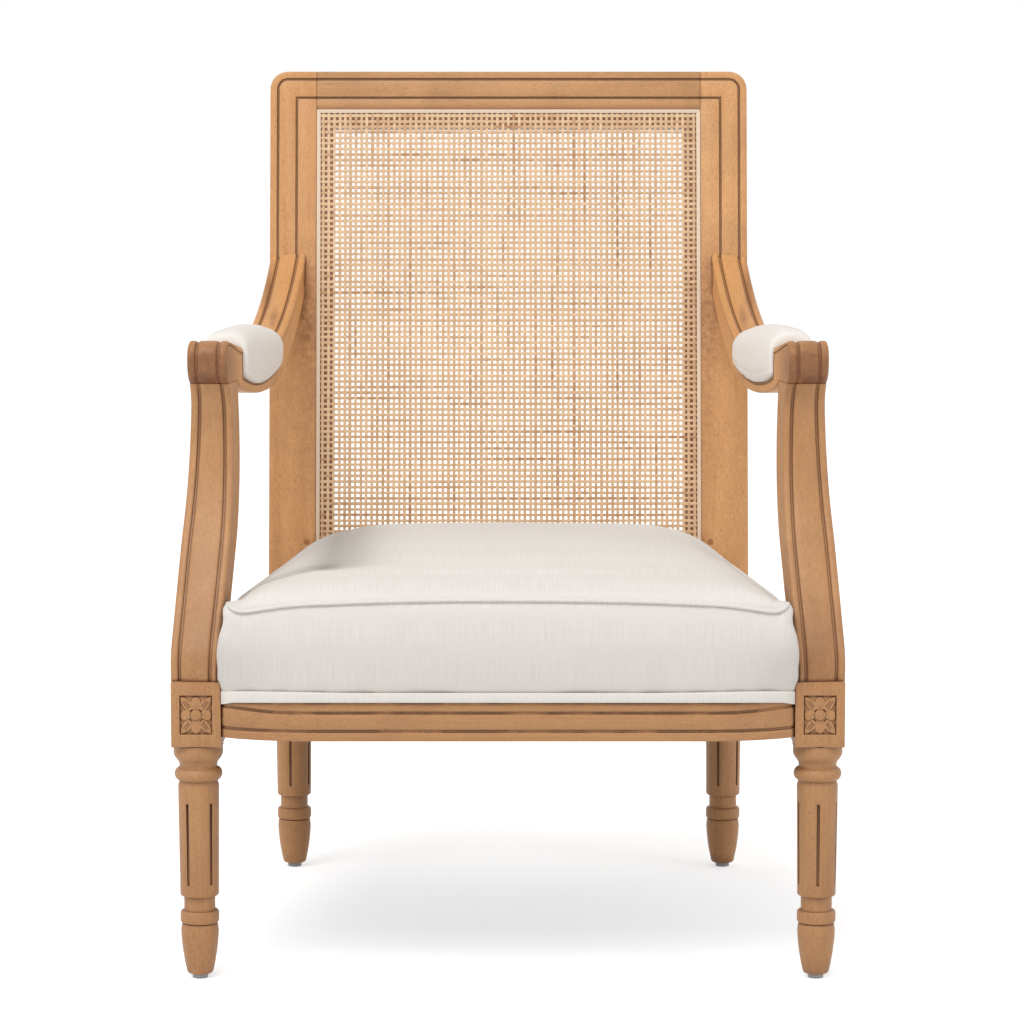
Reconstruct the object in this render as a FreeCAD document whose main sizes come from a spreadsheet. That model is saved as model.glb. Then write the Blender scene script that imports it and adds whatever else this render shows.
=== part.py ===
"""Open armchair: turned legs, swept arms, a raked cane back and a tight seat.

Millimetres, +Z up, floor at Z = 0, front towards -Y, X = 0 on the centre line.
"""
import FreeCAD, Part
import math
import operator
import os
import Sketcher

Vector = FreeCAD.Vector
SIDES = (("left", -1), ("right", 1))

SIZES = {
    # where the legs stand
    "front_leg_x": 318.0,
    "rear_leg_x": 254.5,
    "front_leg_y": 309.0,
    "leg_spacing": 560.0,
    # turned leg, from the floor up
    "glide_height": 5.0,
    "glide_radius": 8.0,
    "foot_height": 53.0,
    "foot_bottom_radius": 13.4,
    "foot_edge": 1.6,
    "foot_widest": 42.0,
    "foot_radius": 19.3,
    "foot_swell": 0.9,
    "foot_top_radius": 18.2,
    "ring_height": 13.5,
    "ring_radius": 19.9,
    "ring_edge": 3.0,
    "neck_height": 15.0,
    "neck_radius": 16.0,
    "shaft_height": 115.5,
    "shaft_bottom_radius": 19.8,
    "shaft_top_radius": 21.1,
    "shaft_edge": 1.2,
    "collar_height": 5.0,
    "collar_radius": 19.6,
    "bead_height": 14.0,
    "bead_radius": 24.6,
    "cove_height": 8.5,
    "cove_sink": 1.2,
    "cap_bottom_radius": 22.4,
    "cap_radius": 25.3,
    "cap_height": 15.0,
    "cap_edge": 5.0,
    # flutes of the shaft
    "flute_width": 2.8,
    "flute_depth": 1.8,
    "flute_start": 14.0,
    "flute_length": 83.0,
    "flute_count": 5,
    "front_left_flute_angle": 42.0,
    "front_right_flute_angle": 71.0,
    "rear_left_flute_angle": 64.0,
    "rear_right_flute_angle": 52.0,
    # square block and its carved rosette
    "block_side": 51.0,
    "block_height": 67.3,
    "rosette_width": 33.0,
    "rosette_height": 40.0,
    "rosette_depth": 2.4,
    "button_radius": 5.8,
    "petal_start": 4.0,
    "petal_length": 10.5,
    "petal_width": 11.0,
    "petal_relief": 1.6,
    "leaf_start": 8.0,
    "leaf_length": 11.5,
    "leaf_width": 6.5,
    "leaf_relief": 1.0,
    # seat rails
    "rail_lift": 11.0,
    "rail_height": 40.5,
    "rail_thickness": 26.0,
    "rail_bow": 28.0,
    "rail_end": 22.0,
    "rail_band": 10.3,
    "rail_groove": 2.4,
    "side_rail_reveal": 2.0,
    # mouldings of the back, arms and supports
    "groove_depth": 2.0,
    "groove_width": 2.6,
    "bead_width": 8.0,
    "flat_width": 19.5,
    # back
    "stile_width": 55.0,
    "rake_angle": 9.15,
    "kink_height": 285.0,
    "back_length": 663.1,
    "stile_top_depth": 28.0,
    "top_corner_radius": 21.0,
    "top_rail_height": 44.7,
    "cane_start": 96.2,
    "lower_rail_height": 36.0,
    "back_rail_depth": 24.0,
    "ledge_width": 21.0,
    "ledge_depth": 14.0,
    "cane_recess": 2.5,
    "cane_thickness": 1.2,
    "spline_width": 4.7,
    "spline_reveal": 0.8,
    "spline_depth": 3.5,
    "cane_columns": 15,
    "cane_rows": 18,
    "tenon_length": 20.0,
    "tenon_depth": 9.0,
    "tenon_shoulder": 6.0,
    "peg_radius": 3.0,
    "peg_length": 22.0,
    "peg_inset": 10.5,
    "peg_height": 104.9,
    # arm supports, seen from the side
    "support_width": 49.0,
    "support_front": 20.5,
    "support_depth": 45.5,
    "support_foot": 10.0,
    "knee_height": 30.0,
    "knee_reach": 9.5,
    "knee_rise": 2.2,
    "lean_height": 105.0,
    "lean_reach": 67.0,
    "lean_depth": 47.0,
    "sweep_height": 123.0,
    "sweep_reach": 36.0,
    "sweep_rise": 9.2,
    "neck_back": 12.0,
    "crest_height": 29.5,
    "crest_rise": 3.0,
    "support_top_depth": 44.0,
    "support_bead": 8.0,
    "support_inner_bead": 7.0,
    # arms, seen from the side
    "arm_width": 41.5,
    "arm_joint_reach": 600.0,
    "nose_reach": 14.0,
    "nose_height": 25.0,
    "nose_rise": 4.5,
    "brow_reach": 16.0,
    "brow_height": 19.6,
    "brow_rise": 5.5,
    "pad_front": 158.0,
    "pad_length": 282.0,
    "arm_drop": 12.0,
    "arm_top_rise": 75.0,
    "arm_top_sag": 9.0,
    "arm_overrun": 14.0,
    "arm_under_front": 152.0,
    "arm_under_drop": 8.0,
    "arm_under_mid": 400.0,
    "arm_under_low": 20.0,
    "arm_under_sag": 9.5,
    "arm_under_rise": 87.2,
    "arm_under_swell": 12.0,
    # arm pads
    "pad_core_width": 29.0,
    "pad_base_lift": 2.0,
    "pad_sag": 14.5,
    "pad_width": 50.0,
    "pad_crown": 16.0,
    "pad_clearance": 0.3,
    "pad_cover": 1.4,
    # seat cushion
    "seat_clearance": 0.4,
    "seat_front_inset": 3.0,
    "seat_side_inset": 3.0,
    "seat_rear_inset": 20.0,
    "seat_cover": 1.4,
    "seat_edge_height": 97.0,
    "seat_corner_radius": 16.0,
    "notch_gap": 0.8,
    "band_height": 9.6,
    "band_thickness": 1.6,
    "piping_radius": 2.0,
    # support under the seat
    "strap_width": 58.0,
    "strap_thickness": 1.2,
    "strap_end": 9.0,
    "long_strap_count": 5,
    "cross_strap_count": 4,
    "staple_leg": 8.0,
    "staple_crown": 10.0,
    "staple_wire": 0.8,
    "deck_thickness": 0.8,
    "dust_cover_thickness": 0.6,
    "dust_staple_count": 6,
    "layer_gap": 0.2,
    "deck_inset": 12.0,
    "dust_cover_inset": 8.0,
    # corner blocks and fastenings
    "corner_block_leg": 100.0,
    "corner_block_margin": 4.0,
    "dowel_radius": 4.0,
    "dowel_length": 36.0,
    "dowel_pitch": 18.0,
    "screw_radius": 2.2,
    "screw_head_radius": 4.4,
    "screw_head_height": 3.0,
    "screw_length": 44.0,
    "arm_screw_length": 60.0,
    "arm_screw_proud": 0.6,
    "arm_screw_drop": 30.0,
    "nail_radius": 1.2,
    "nail_length": 16.0,
    "overrun": 6.0,
}

# levels of the cushion: height, then how far its front, sides and rear stand in,
# all as shares of the height of its edge
LEVEL_shares = (
    (0.00, 0.000, 0.00, 0.00),
    (0.11, 0.000, 0.00, 0.05),
    (0.35, -0.025, 0.09, 0.12),
    (0.56, -0.035, 0.236, 0.17),
    (0.79, -0.020, 0.43, 0.17),
    (0.97, 0.020, 0.576, 0.17),
    (1.05, 0.110, 0.72, 0.17),
    (1.155, 0.330, 0.844, 0.19),
    (1.28, 0.660, 1.03, 0.28),
    (1.39, 1.100, 1.32, 0.72),
    (1.455, 1.650, 1.68, 1.37),
)
SEAT_REAR_share = 0.80
SEAT_CORNER_share = 8.0
PIPING_level_share = LEVEL_shares[5]

# stations of the arm pad: place along it, width and crown, as shares
PAD_shares = (
    (0.00, 0.70, 0.30),
    (0.02, 0.86, 0.62),
    (0.08, 0.96, 0.88),
    (0.22, 1.00, 1.00),
    (0.50, 1.00, 1.00),
    (0.78, 1.00, 0.96),
    (0.92, 0.96, 0.84),
    (0.98, 0.86, 0.60),
    (1.00, 0.72, 0.30),
)
PAD_SHOULDER_share = 0.62
FLUTE_END_share = 0.42
CANE_STRAND_share = 0.44
QUARTER_share = 1.0 - math.sqrt(0.5)
HALF = 0.5
SAME_POINT_share = 1e-6
PAD_EDGE_share = 0.6
PAD_EDGE_rise_share = 0.8
PAD_BEND_share = 0.9
PAD_BEND_rise_share = 0.48
STAPLE_SPREAD_share = 0.9
TABLE_share = 2.0
NAIL_HEAD_share = 2.0

document = FreeCAD.newDocument("armchair")
sheet = document.addObject("Spreadsheet::Sheet", "Sizes")
for row, (name, value) in enumerate(SIZES.items(), start=1):
    sheet.set(f"A{row}", name)
    sheet.set(f"B{row}", str(value))
    sheet.setAlias(f"B{row}", name)
document.recompute()

OPERATIONS = {
    "+": operator.add,
    "-": operator.sub,
    "*": operator.mul,
    "/": operator.truediv,
}


class Sized:
    """A value together with the formula that gives it from the sheet."""

    def __init__(self, formula, value):
        self.formula = formula
        self.value = value

    def __add__(self, other):
        return combined(self, "+", other)

    def __radd__(self, other):
        return combined(other, "+", self)

    def __sub__(self, other):
        return combined(self, "-", other)

    def __rsub__(self, other):
        return combined(other, "-", self)

    def __mul__(self, other):
        return combined(self, "*", other)

    def __rmul__(self, other):
        return combined(other, "*", self)

    def __truediv__(self, other):
        return combined(self, "/", other)

    def __neg__(self):
        return combined(0, "-", self)


class Names:
    """The sizes of the sheet, each by its own name."""

    def __getattr__(self, name):
        return Sized(f"Sizes.{name}", float(sheet.get(name)))


def sized(number):
    """Any number as a Sized one."""
    if isinstance(number, Sized):
        return number
    return Sized(repr(float(number)), float(number))


def combined(first, sign, second):
    """Two values joined by a sign."""
    first = sized(first)
    second = sized(second)
    formula = f"({first.formula} {sign} {second.formula})"
    return Sized(formula, OPERATIONS[sign](first.value, second.value))


def sine(angle):
    return Sized(f"sin({angle.formula})", math.sin(math.radians(angle.value)))


def cosine(angle):
    return Sized(f"cos({angle.formula})", math.cos(math.radians(angle.value)))


def slope_angle(ratio):
    """The angle, in degrees, whose tangent is this ratio."""
    return Sized(f"atan({ratio.formula})", math.degrees(math.atan(ratio.value)))


def quarter(radius):
    """Rise of a quarter circle of this radius over its chord."""
    return radius * QUARTER_share


size = Names()

# heights from the floor
foot_top = size.glide_height + size.foot_height
ring_top = foot_top + size.ring_height
neck_top = ring_top + size.neck_height
shaft_top = neck_top + size.shaft_height
collar_top = shaft_top + size.collar_height
bead_top = collar_top + size.bead_height
cove_top = bead_top + size.cove_height
block_bottom = cove_top + size.cap_height
block_top = block_bottom + size.block_height
rail_bottom = block_bottom + size.rail_lift
rail_top = rail_bottom + size.rail_height
rosette_middle = block_bottom + size.block_height * HALF
lean_top = block_top + size.support_foot + size.knee_height + size.lean_height
support_top = lean_top + size.sweep_height + size.crest_height
pad_base = support_top + size.pad_base_lift
arm_top_front = support_top + size.nose_height + size.brow_height
arm_top_middle = arm_top_front - size.arm_drop
arm_top_end = arm_top_middle + size.arm_top_rise

# plan: lines of the leg axes and the faces of their blocks
half_block = size.block_side * HALF
half_stile = size.stile_width * HALF
front_axis = -size.front_leg_y
rear_axis = front_axis + size.leg_spacing
back_face = rear_axis - half_block
stile_inner = size.rear_leg_x - half_stile
stile_outer = size.rear_leg_x + half_stile
block_inner = size.front_leg_x - half_block

# the raked back: heights along its face
opening_top = size.back_length - size.top_rail_height
ledge_top = opening_top - size.ledge_width
ledge_bottom = size.cane_start + size.ledge_width
lower_rail_bottom = size.cane_start - size.lower_rail_height
rake_sine = sine(size.rake_angle)
rake_cosine = cosine(size.rake_angle)

# vertical plane of an arm and its support, which turns inwards to the rear
half_arm = size.arm_width * HALF
half_support = size.support_width * HALF
knee_reach = size.knee_reach - size.support_front
lean_reach = knee_reach + size.lean_reach
sweep_reach = lean_reach + size.sweep_reach
crest_reach = sweep_reach - size.neck_back
support_rear = sweep_reach + size.support_top_depth
side_angle = slope_angle((size.front_leg_x - (stile_outer - half_arm)) / size.arm_joint_reach)
side_sine = sine(side_angle)
side_cosine = cosine(side_angle)


def bind(thing, path, value):
    """Tie a property to the sheet."""
    value = sized(value)
    if value.value != 0 or "Sizes" in value.formula:
        thing.setExpression(path, value.formula)


def on_side(value, side):
    """The value on the right-hand side, its opposite on the left."""
    if side > 0:
        return sized(value)
    return -sized(value)


def new_body(label, x=0, y=0, z=0, axis=(0, 0, 1), angle=0):
    """A body at a place, turned by an angle about an axis."""
    body = document.addObject("PartDesign::Body", label)
    body.Label = label
    turn = FreeCAD.Rotation(Vector(*axis), sized(angle).value)
    body.Placement = FreeCAD.Placement(Vector(0, 0, 0), turn)
    bind(body, "Placement.Base.x", x)
    bind(body, "Placement.Base.y", y)
    bind(body, "Placement.Base.z", z)
    if sized(angle).value:
        bind(body, "Placement.Rotation.Angle", angle)
    return body


def origin_feature(body, role):
    """A plane or an axis of the body's own origin."""
    return [item for item in body.Origin.OriginFeatures if item.Role == role][0]


def rise_radius(start, end, rise):
    """Radius of the arc from start to end whose middle stands off its chord."""
    across = sized(end[0]) - start[0]
    along = sized(end[1]) - start[1]
    chord_squared = across * across + along * along
    return (chord_squared / 4 + rise * rise) / (rise * 2)


def flat_arc(start, end, rise):
    """Arc in the sketch's plane; a positive rise bulges right of the way."""
    across = end[0] - start[0]
    along = end[1] - start[1]
    length = math.hypot(across, along)
    middle_x = (start[0] + end[0]) / 2 + along / length * rise
    middle_y = (start[1] + end[1]) / 2 - across / length * rise
    middle = Vector(middle_x, middle_y, 0)
    return Part.Arc(Vector(*start, 0), middle, Vector(*end, 0))


def add_loop(sketch, corners):
    """Closed outline of lines and arcs; (x, y, rise) has an arc leading to it."""
    points = [(sized(corner[0]), sized(corner[1])) for corner in corners]
    numbers = [(point[0].value, point[1].value) for point in points]
    count = len(corners)
    edges = []
    for index in range(count):
        after = (index + 1) % count
        start = numbers[index]
        end = numbers[after]
        if len(corners[after]) == 3:
            rise = sized(corners[after][2])
            edge = sketch.addGeometry(flat_arc(start, end, rise.value))
            radius = rise_radius(points[index], points[after], rise)
            if radius.value < 0:
                radius = -radius
            place = sketch.addConstraint(Sketcher.Constraint("Radius", edge, radius.value))
            bind(sketch, f"Constraints[{place}]", radius)
        else:
            edge = sketch.addGeometry(Part.LineSegment(Vector(*start, 0), Vector(*end, 0)))
        first = sketch.getPoint(edge, 1)
        forward = math.hypot(first.x - start[0], first.y - start[1]) < SAME_POINT_share
        edges.append((edge, 1, 2) if forward else (edge, 2, 1))
    for index in range(count):
        edge, start_point, end_point = edges[index]
        next_edge, next_start, _ = edges[(index + 1) % count]
        sketch.addConstraint(Sketcher.Constraint("Coincident", edge, end_point, next_edge, next_start))
    for (edge, start_point, _), point in zip(edges, points):
        for kind, value in (("DistanceX", point[0]), ("DistanceY", point[1])):
            limit = Sketcher.Constraint(kind, -1, 1, edge, start_point, value.value)
            place = sketch.addConstraint(limit)
            bind(sketch, f"Constraints[{place}]", value)


def add_circle(sketch, x, y, radius):
    """Circle tied to the sheet."""
    centre = Vector(sized(x).value, sized(y).value, 0)
    edge = sketch.addGeometry(Part.Circle(centre, Vector(0, 0, 1), radius.value))
    place = sketch.addConstraint(Sketcher.Constraint("Radius", edge, radius.value))
    bind(sketch, f"Constraints[{place}]", radius)
    for kind, value in (("DistanceX", sized(x)), ("DistanceY", sized(y))):
        place = sketch.addConstraint(Sketcher.Constraint(kind, -1, 1, edge, 3, value.value))
        bind(sketch, f"Constraints[{place}]", value)


def draw(body, name, plane, loops, x=0, y=0, lift=0, axis=(0, 0, 1), angle=0):
    """Sketch on one of the body's planes, moved along it or off it, and turned."""
    sketch = body.newObject("Sketcher::SketchObject", f"{body.Label}_{name}")
    sketch.AttachmentSupport = [(origin_feature(body, plane), "")]
    sketch.MapMode = "FlatFace"
    turn = FreeCAD.Rotation(Vector(*axis), sized(angle).value)
    sketch.AttachmentOffset = FreeCAD.Placement(Vector(0, 0, 0), turn)
    bind(sketch, "AttachmentOffset.Base.x", x)
    bind(sketch, "AttachmentOffset.Base.y", y)
    bind(sketch, "AttachmentOffset.Base.z", lift)
    if sized(angle).value:
        bind(sketch, "AttachmentOffset.Rotation.Angle", angle)
    for loop in loops:
        if loop[0] == "circle":
            add_circle(sketch, *loop[1:])
        else:
            add_loop(sketch, loop)
    return sketch


def rectangle(left, bottom, right, top):
    return [(left, bottom), (right, bottom), (right, top), (left, top)]


def finish(body, feature, sketch):
    """Give a feature its profile and make it the body's tip."""
    feature.Profile = sketch
    document.recompute()
    body.Tip = feature
    return feature


def pad(body, sketch, length, midplane=False, backwards=False):
    feature = body.newObject("PartDesign::Pad", sketch.Name + "_pad")
    feature.Midplane = midplane
    feature.Reversed = backwards
    bind(feature, "Length", length)
    return finish(body, feature, sketch)


def pocket(body, sketch, length=None, backwards=False):
    """Cut against the sketch's normal, or along it; through all without a length."""
    feature = body.newObject("PartDesign::Pocket", sketch.Name + "_pocket")
    feature.Reversed = backwards
    if length is None:
        feature.Type = "ThroughAll"
    else:
        bind(feature, "Length", length)
    volume = body.Shape.Volume
    finish(body, feature, sketch)
    if not feature.Shape.Volume < volume:
        raise RuntimeError(f"{feature.Name} cuts nothing")
    return feature


def polar(body, feature, axis, count):
    """Repeat a feature round an axis."""
    pattern = body.newObject("PartDesign::PolarPattern", feature.Name + "_pattern")
    pattern.Originals = [feature]
    pattern.Axis = axis
    pattern.Angle = 360
    bind(pattern, "Occurrences", count)
    document.recompute()
    body.Tip = pattern
    return pattern


def cylinder(name, radius, length, at, direction, angle=None):
    """Round peg from a point along a direction."""
    peg = document.addObject("Part::Cylinder", name)
    bind(peg, "Radius", radius)
    bind(peg, "Height", length)
    turn = FreeCAD.Rotation(Vector(0, 0, 1), Vector(*direction))
    peg.Placement = FreeCAD.Placement(Vector(0, 0, 0), turn)
    if angle is not None:
        bind(peg, "Placement.Rotation.Angle", angle)
    bind(peg, "Placement.Base.x", at[0])
    bind(peg, "Placement.Base.y", at[1])
    bind(peg, "Placement.Base.z", at[2])
    return peg


def group(label, items):
    """Several separate solids under one name."""
    compound = document.addObject("Part::Compound", label)
    compound.Label = label
    compound.Links = items
    return compound


def fitted(label, blank, tools):
    """A blank with the room cut out of it for what goes into it."""
    blank.Label = label + "_blank"
    piece = document.addObject("Part::Cut", label)
    piece.Label = label
    piece.Base = blank
    piece.Tool = group(label + "_tools", tools)
    return piece


def raked_point(height, depth):
    """Place, in Y and Z, at a height along the back and a depth behind its face."""
    y = back_face + height * rake_sine + depth * rake_cosine
    z = size.kink_height + height * rake_cosine - depth * rake_sine
    return y, z


def side_point(side, reach, across=0):
    """Place, in X and Y, in an arm's plane, this far behind the front leg."""
    x = size.front_leg_x - reach * side_sine + across * side_cosine
    y = front_axis + reach * side_cosine + across * side_sine
    return on_side(x, side), y


def raked_body(label):
    """A body whose XZ plane is the face of the back."""
    return new_body(label, 0, back_face, size.kink_height, (-1, 0, 0), size.rake_angle)


def side_body(label, side):
    """A body whose YZ plane is the plane of an arm."""
    x = on_side(size.front_leg_x, side)
    return new_body(label, x, front_axis, 0, (0, 0, side), side_angle)


def turned_blank(body):
    """Turned part of a leg, from its foot to the cap under the block."""
    half_bead = size.bead_radius - size.collar_radius
    profile = [
        (0, size.glide_height),
        (size.foot_bottom_radius - size.foot_edge, size.glide_height),
        (size.foot_bottom_radius, size.glide_height + size.foot_edge),
        (size.foot_radius, size.glide_height + size.foot_widest, size.foot_swell),
        (size.foot_top_radius, foot_top, size.foot_swell * HALF),
        (size.ring_radius - size.ring_edge, foot_top),
        (size.ring_radius, foot_top + size.ring_edge, quarter(size.ring_edge)),
        (size.ring_radius, ring_top - size.ring_edge),
        (size.ring_radius - size.ring_edge, ring_top, quarter(size.ring_edge)),
        (size.neck_radius, ring_top),
        (size.neck_radius, neck_top),
        (size.shaft_bottom_radius - size.shaft_edge, neck_top),
        (size.shaft_bottom_radius, neck_top + size.shaft_edge),
        (size.shaft_top_radius, shaft_top),
        (size.collar_radius, collar_top),
        (size.collar_radius, bead_top, half_bead),
        (size.cap_bottom_radius, cove_top, -size.cove_sink),
        (size.cap_radius, cove_top + size.cap_height - size.cap_edge, size.cove_sink),
        (size.cap_radius, block_bottom),
        (0, block_bottom),
    ]
    sketch = draw(body, "profile", "XZ_Plane", [profile])
    turning = body.newObject("PartDesign::Revolution", body.Label + "_turning")
    turning.ReferenceAxis = (sketch, ["V_Axis"])
    turning.Angle = 360
    finish(body, turning, sketch)


def cut_flutes(body, angle):
    """Narrow round-ended flutes in the shaft."""
    depth = size.shaft_bottom_radius - size.flute_depth
    half = size.flute_width * HALF
    start = neck_top + size.flute_start
    end = start + size.flute_length
    bend = size.flute_width * FLUTE_END_share
    slot = [(-half, start), (half, start, bend), (half, end), (-half, end, bend)]
    place = {"x": depth * sine(angle), "lift": depth * cosine(angle), "axis": (0, 1, 0), "angle": angle}
    sketch = draw(body, "flute", "XZ_Plane", [slot], **place)
    flute = pocket(body, sketch, backwards=True)
    polar(body, flute, (origin_feature(body, "Z_Axis"), [""]), size.flute_count)


def carve_rosette(body):
    """Sunk panel with a button, four petals and four pointed leaves."""
    half_width = size.rosette_width * HALF
    half_height = size.rosette_height * HALF
    panel = rectangle(-half_width, -half_height, half_width, half_height)
    sketch = draw(body, "panel", "XZ_Plane", [panel], y=rosette_middle, lift=half_block)
    pocket(body, sketch, size.rosette_depth)
    floor = half_block - size.rosette_depth
    circle = ("circle", 0, 0, size.button_radius)
    button = draw(body, "button", "XZ_Plane", [circle], y=rosette_middle, lift=floor)
    pad(body, button, size.rosette_depth)
    half_petal = size.petal_width * HALF
    petal_end = size.petal_start + size.petal_length
    petal_shape = [
        (-half_petal * HALF, size.petal_start),
        (half_petal * HALF, size.petal_start),
        (half_petal, petal_end - half_petal),
        (0, petal_end, half_petal * QUARTER_share),
        (-half_petal, petal_end - half_petal, half_petal * QUARTER_share),
    ]
    petal = draw(body, "petal", "XZ_Plane", [petal_shape], y=rosette_middle, lift=floor)
    petal_pad = pad(body, petal, size.petal_relief)
    polar(body, petal_pad, (petal, ["N_Axis"]), 4)
    half_leaf = size.leaf_width * HALF
    leaf_end = size.leaf_start + size.leaf_length
    leaf_shape = [
        (0, size.leaf_start),
        (half_leaf, size.leaf_start + half_leaf),
        (0, leaf_end),
        (-half_leaf, size.leaf_start + half_leaf),
    ]
    leaf = draw(body, "leaf", "XZ_Plane", [leaf_shape], y=rosette_middle, lift=floor, angle=45)
    leaf_pad = pad(body, leaf, size.leaf_relief)
    polar(body, leaf_pad, (leaf, ["N_Axis"]), 4)


def front_leg(name, side):
    body = new_body(f"front_leg_{name}", on_side(size.front_leg_x, side), front_axis)
    turned_blank(body)
    cut_flutes(body, getattr(size, f"front_{name}_flute_angle"))
    square = rectangle(-half_block, -half_block, half_block, half_block)
    pad(body, draw(body, "block", "XY_Plane", [square], lift=block_bottom), size.block_height)
    carve_rosette(body)
    return body


def stile_grooves(side, start):
    """The two grooves up a stile and round its top corner, on the raked face."""
    first = size.bead_width
    second = first + size.groove_width
    third = second + size.flat_width
    fourth = third + size.groove_width
    radius = size.top_corner_radius
    top = size.back_length
    inner = on_side(-half_stile, side)
    turn = top - radius
    corner = on_side(half_stile - radius, side)
    round_groove = [
        (on_side(half_stile - second, side), start),
        (on_side(half_stile - first, side), start),
        (on_side(half_stile - first, side), turn),
        (corner, top - first, on_side(quarter(radius - first), side)),
        (inner, top - first),
        (inner, top - second),
        (corner, top - second),
        (on_side(half_stile - second, side), turn, -on_side(quarter(radius - second), side)),
    ]
    square_groove = [
        (on_side(half_stile - fourth, side), start),
        (on_side(half_stile - third, side), start),
        (on_side(half_stile - third, side), top - third),
        (inner, top - third),
        (inner, top - fourth),
        (on_side(half_stile - fourth, side), top - fourth),
    ]
    return [round_groove, square_groove]


def rear_leg(name, side):
    """Rear leg, its block and the raked stile, all in one piece of wood."""
    body = new_body(f"rear_leg_{name}", on_side(size.rear_leg_x, side), rear_axis)
    turned_blank(body)
    cut_flutes(body, getattr(size, f"rear_{name}_flute_angle"))
    top_y = size.back_length * rake_sine - half_block
    top_z = size.kink_height + size.back_length * rake_cosine
    profile = [
        (-half_block, block_bottom),
        (half_block, block_bottom),
        (half_block, size.kink_height),
        (top_y + size.stile_top_depth * rake_cosine, top_z - size.stile_top_depth * rake_sine),
        (top_y, top_z),
        (-half_block, size.kink_height),
    ]
    side_view = draw(body, "side_view", "YZ_Plane", [profile])
    pad(body, side_view, size.stile_width, midplane=True)
    face = {"y": size.kink_height, "axis": (-1, 0, 0), "angle": size.rake_angle}
    corner_x = on_side(half_stile, side)
    arc_x = on_side(half_stile - size.top_corner_radius, side)
    out_x = on_side(half_stile + size.overrun, side)
    top = size.back_length
    waste = [
        (corner_x, top - size.top_corner_radius, -on_side(quarter(size.top_corner_radius), side)),
        (out_x, top - size.top_corner_radius),
        (out_x, top + size.overrun),
        (arc_x, top + size.overrun),
        (arc_x, top),
    ]
    pocket(body, draw(body, "corner", "XZ_Plane", [waste], lift=half_block, **face))
    inner = on_side(-half_stile, side)
    ledge_edge = on_side(-half_stile - size.ledge_width, side)
    ledge = rectangle(inner, ledge_bottom, ledge_edge, ledge_top)
    recess_lift = half_block - size.cane_recess * rake_cosine
    recess_y = size.kink_height - size.cane_recess * rake_sine
    recessed = {"y": recess_y, "axis": (-1, 0, 0), "angle": size.rake_angle}
    ledge_sketch = draw(body, "ledge", "XZ_Plane", [ledge], lift=recess_lift, **recessed)
    pad(body, ledge_sketch, size.ledge_depth, backwards=True)
    arm_top = (arm_top_end - size.kink_height) / rake_cosine
    grooves = stile_grooves(side, arm_top)
    pocket(body, draw(body, "grooves", "XZ_Plane", grooves, lift=half_block, **face), size.groove_depth)
    return body


def back_rail(label, bottom, top, depth, rebate):
    """Rail of the back between the stiles, rebated for the cane."""
    body = raked_body(label)
    board = rectangle(-stile_inner, bottom, stile_inner, top)
    pad(body, draw(body, "board", "XZ_Plane", [board]), depth, backwards=True)
    sunk = rectangle(-stile_inner, rebate[0], stile_inner, rebate[1])
    pocket(body, draw(body, "rebate", "XZ_Plane", [sunk]), size.cane_recess)
    return body


def top_rail():
    rebate = (ledge_top, opening_top)
    body = back_rail("top_rail", ledge_top, size.back_length, size.stile_top_depth, rebate)
    top = size.back_length
    second = size.bead_width + size.groove_width
    third = second + size.flat_width
    bands = [
        rectangle(-stile_inner, top - second, stile_inner, top - size.bead_width),
        rectangle(-stile_inner, top - third - size.groove_width, stile_inner, top - third),
    ]
    pocket(body, draw(body, "grooves", "XZ_Plane", bands), size.groove_depth)
    return body


def lower_back_rail():
    """Lower rail with a tenon at each end."""
    rebate = (size.cane_start, ledge_bottom)
    body = back_rail("lower_back_rail", lower_rail_bottom, ledge_bottom, size.back_rail_depth, rebate)
    reach = stile_inner + size.tenon_length
    low = lower_rail_bottom + size.tenon_shoulder
    tenon = rectangle(-reach, low, reach, ledge_bottom - size.tenon_shoulder)
    sketch = draw(body, "tenon", "XZ_Plane", [tenon], lift=-size.tenon_shoulder)
    pad(body, sketch, size.tenon_depth, backwards=True)
    return body


def cane_splines():
    """Four mitred strips round the cane."""
    low = size.cane_start
    high = opening_top
    out = stile_inner
    inner = stile_inner - size.spline_width
    low_in = low + size.spline_width
    high_in = high - size.spline_width
    outlines = {
        "left": [(-out, low), (-inner, low_in), (-inner, high_in), (-out, high)],
        "right": [(out, low), (out, high), (inner, high_in), (inner, low_in)],
        "top": [(-out, high), (-inner, high_in), (inner, high_in), (out, high)],
        "bottom": [(-out, low), (out, low), (inner, low_in), (-inner, low_in)],
    }
    depth = size.cane_recess + size.spline_depth - size.spline_reveal
    splines = []
    for name, outline in outlines.items():
        body = raked_body(f"cane_spline_{name}")
        sketch = draw(body, "outline", "XZ_Plane", [outline], lift=-size.spline_reveal)
        pad(body, sketch, depth, backwards=True)
        splines.append(body)
    return splines


def in_raked_frame():
    """Placement of a shape drawn on the face of the back."""
    turn = FreeCAD.Rotation(Vector(-1, 0, 0), SIZES["rake_angle"])
    place = Vector(0, back_face.value, SIZES["kink_height"])
    return FreeCAD.Placement(place, turn)


def box_wire(left, bottom, right, top, depth):
    """Rectangle standing in the XZ plane at a depth."""
    corners = [(left, bottom), (right, bottom), (right, top), (left, top), (left, bottom)]
    return Part.makePolygon([Vector(x, depth, z) for x, z in corners])


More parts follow.
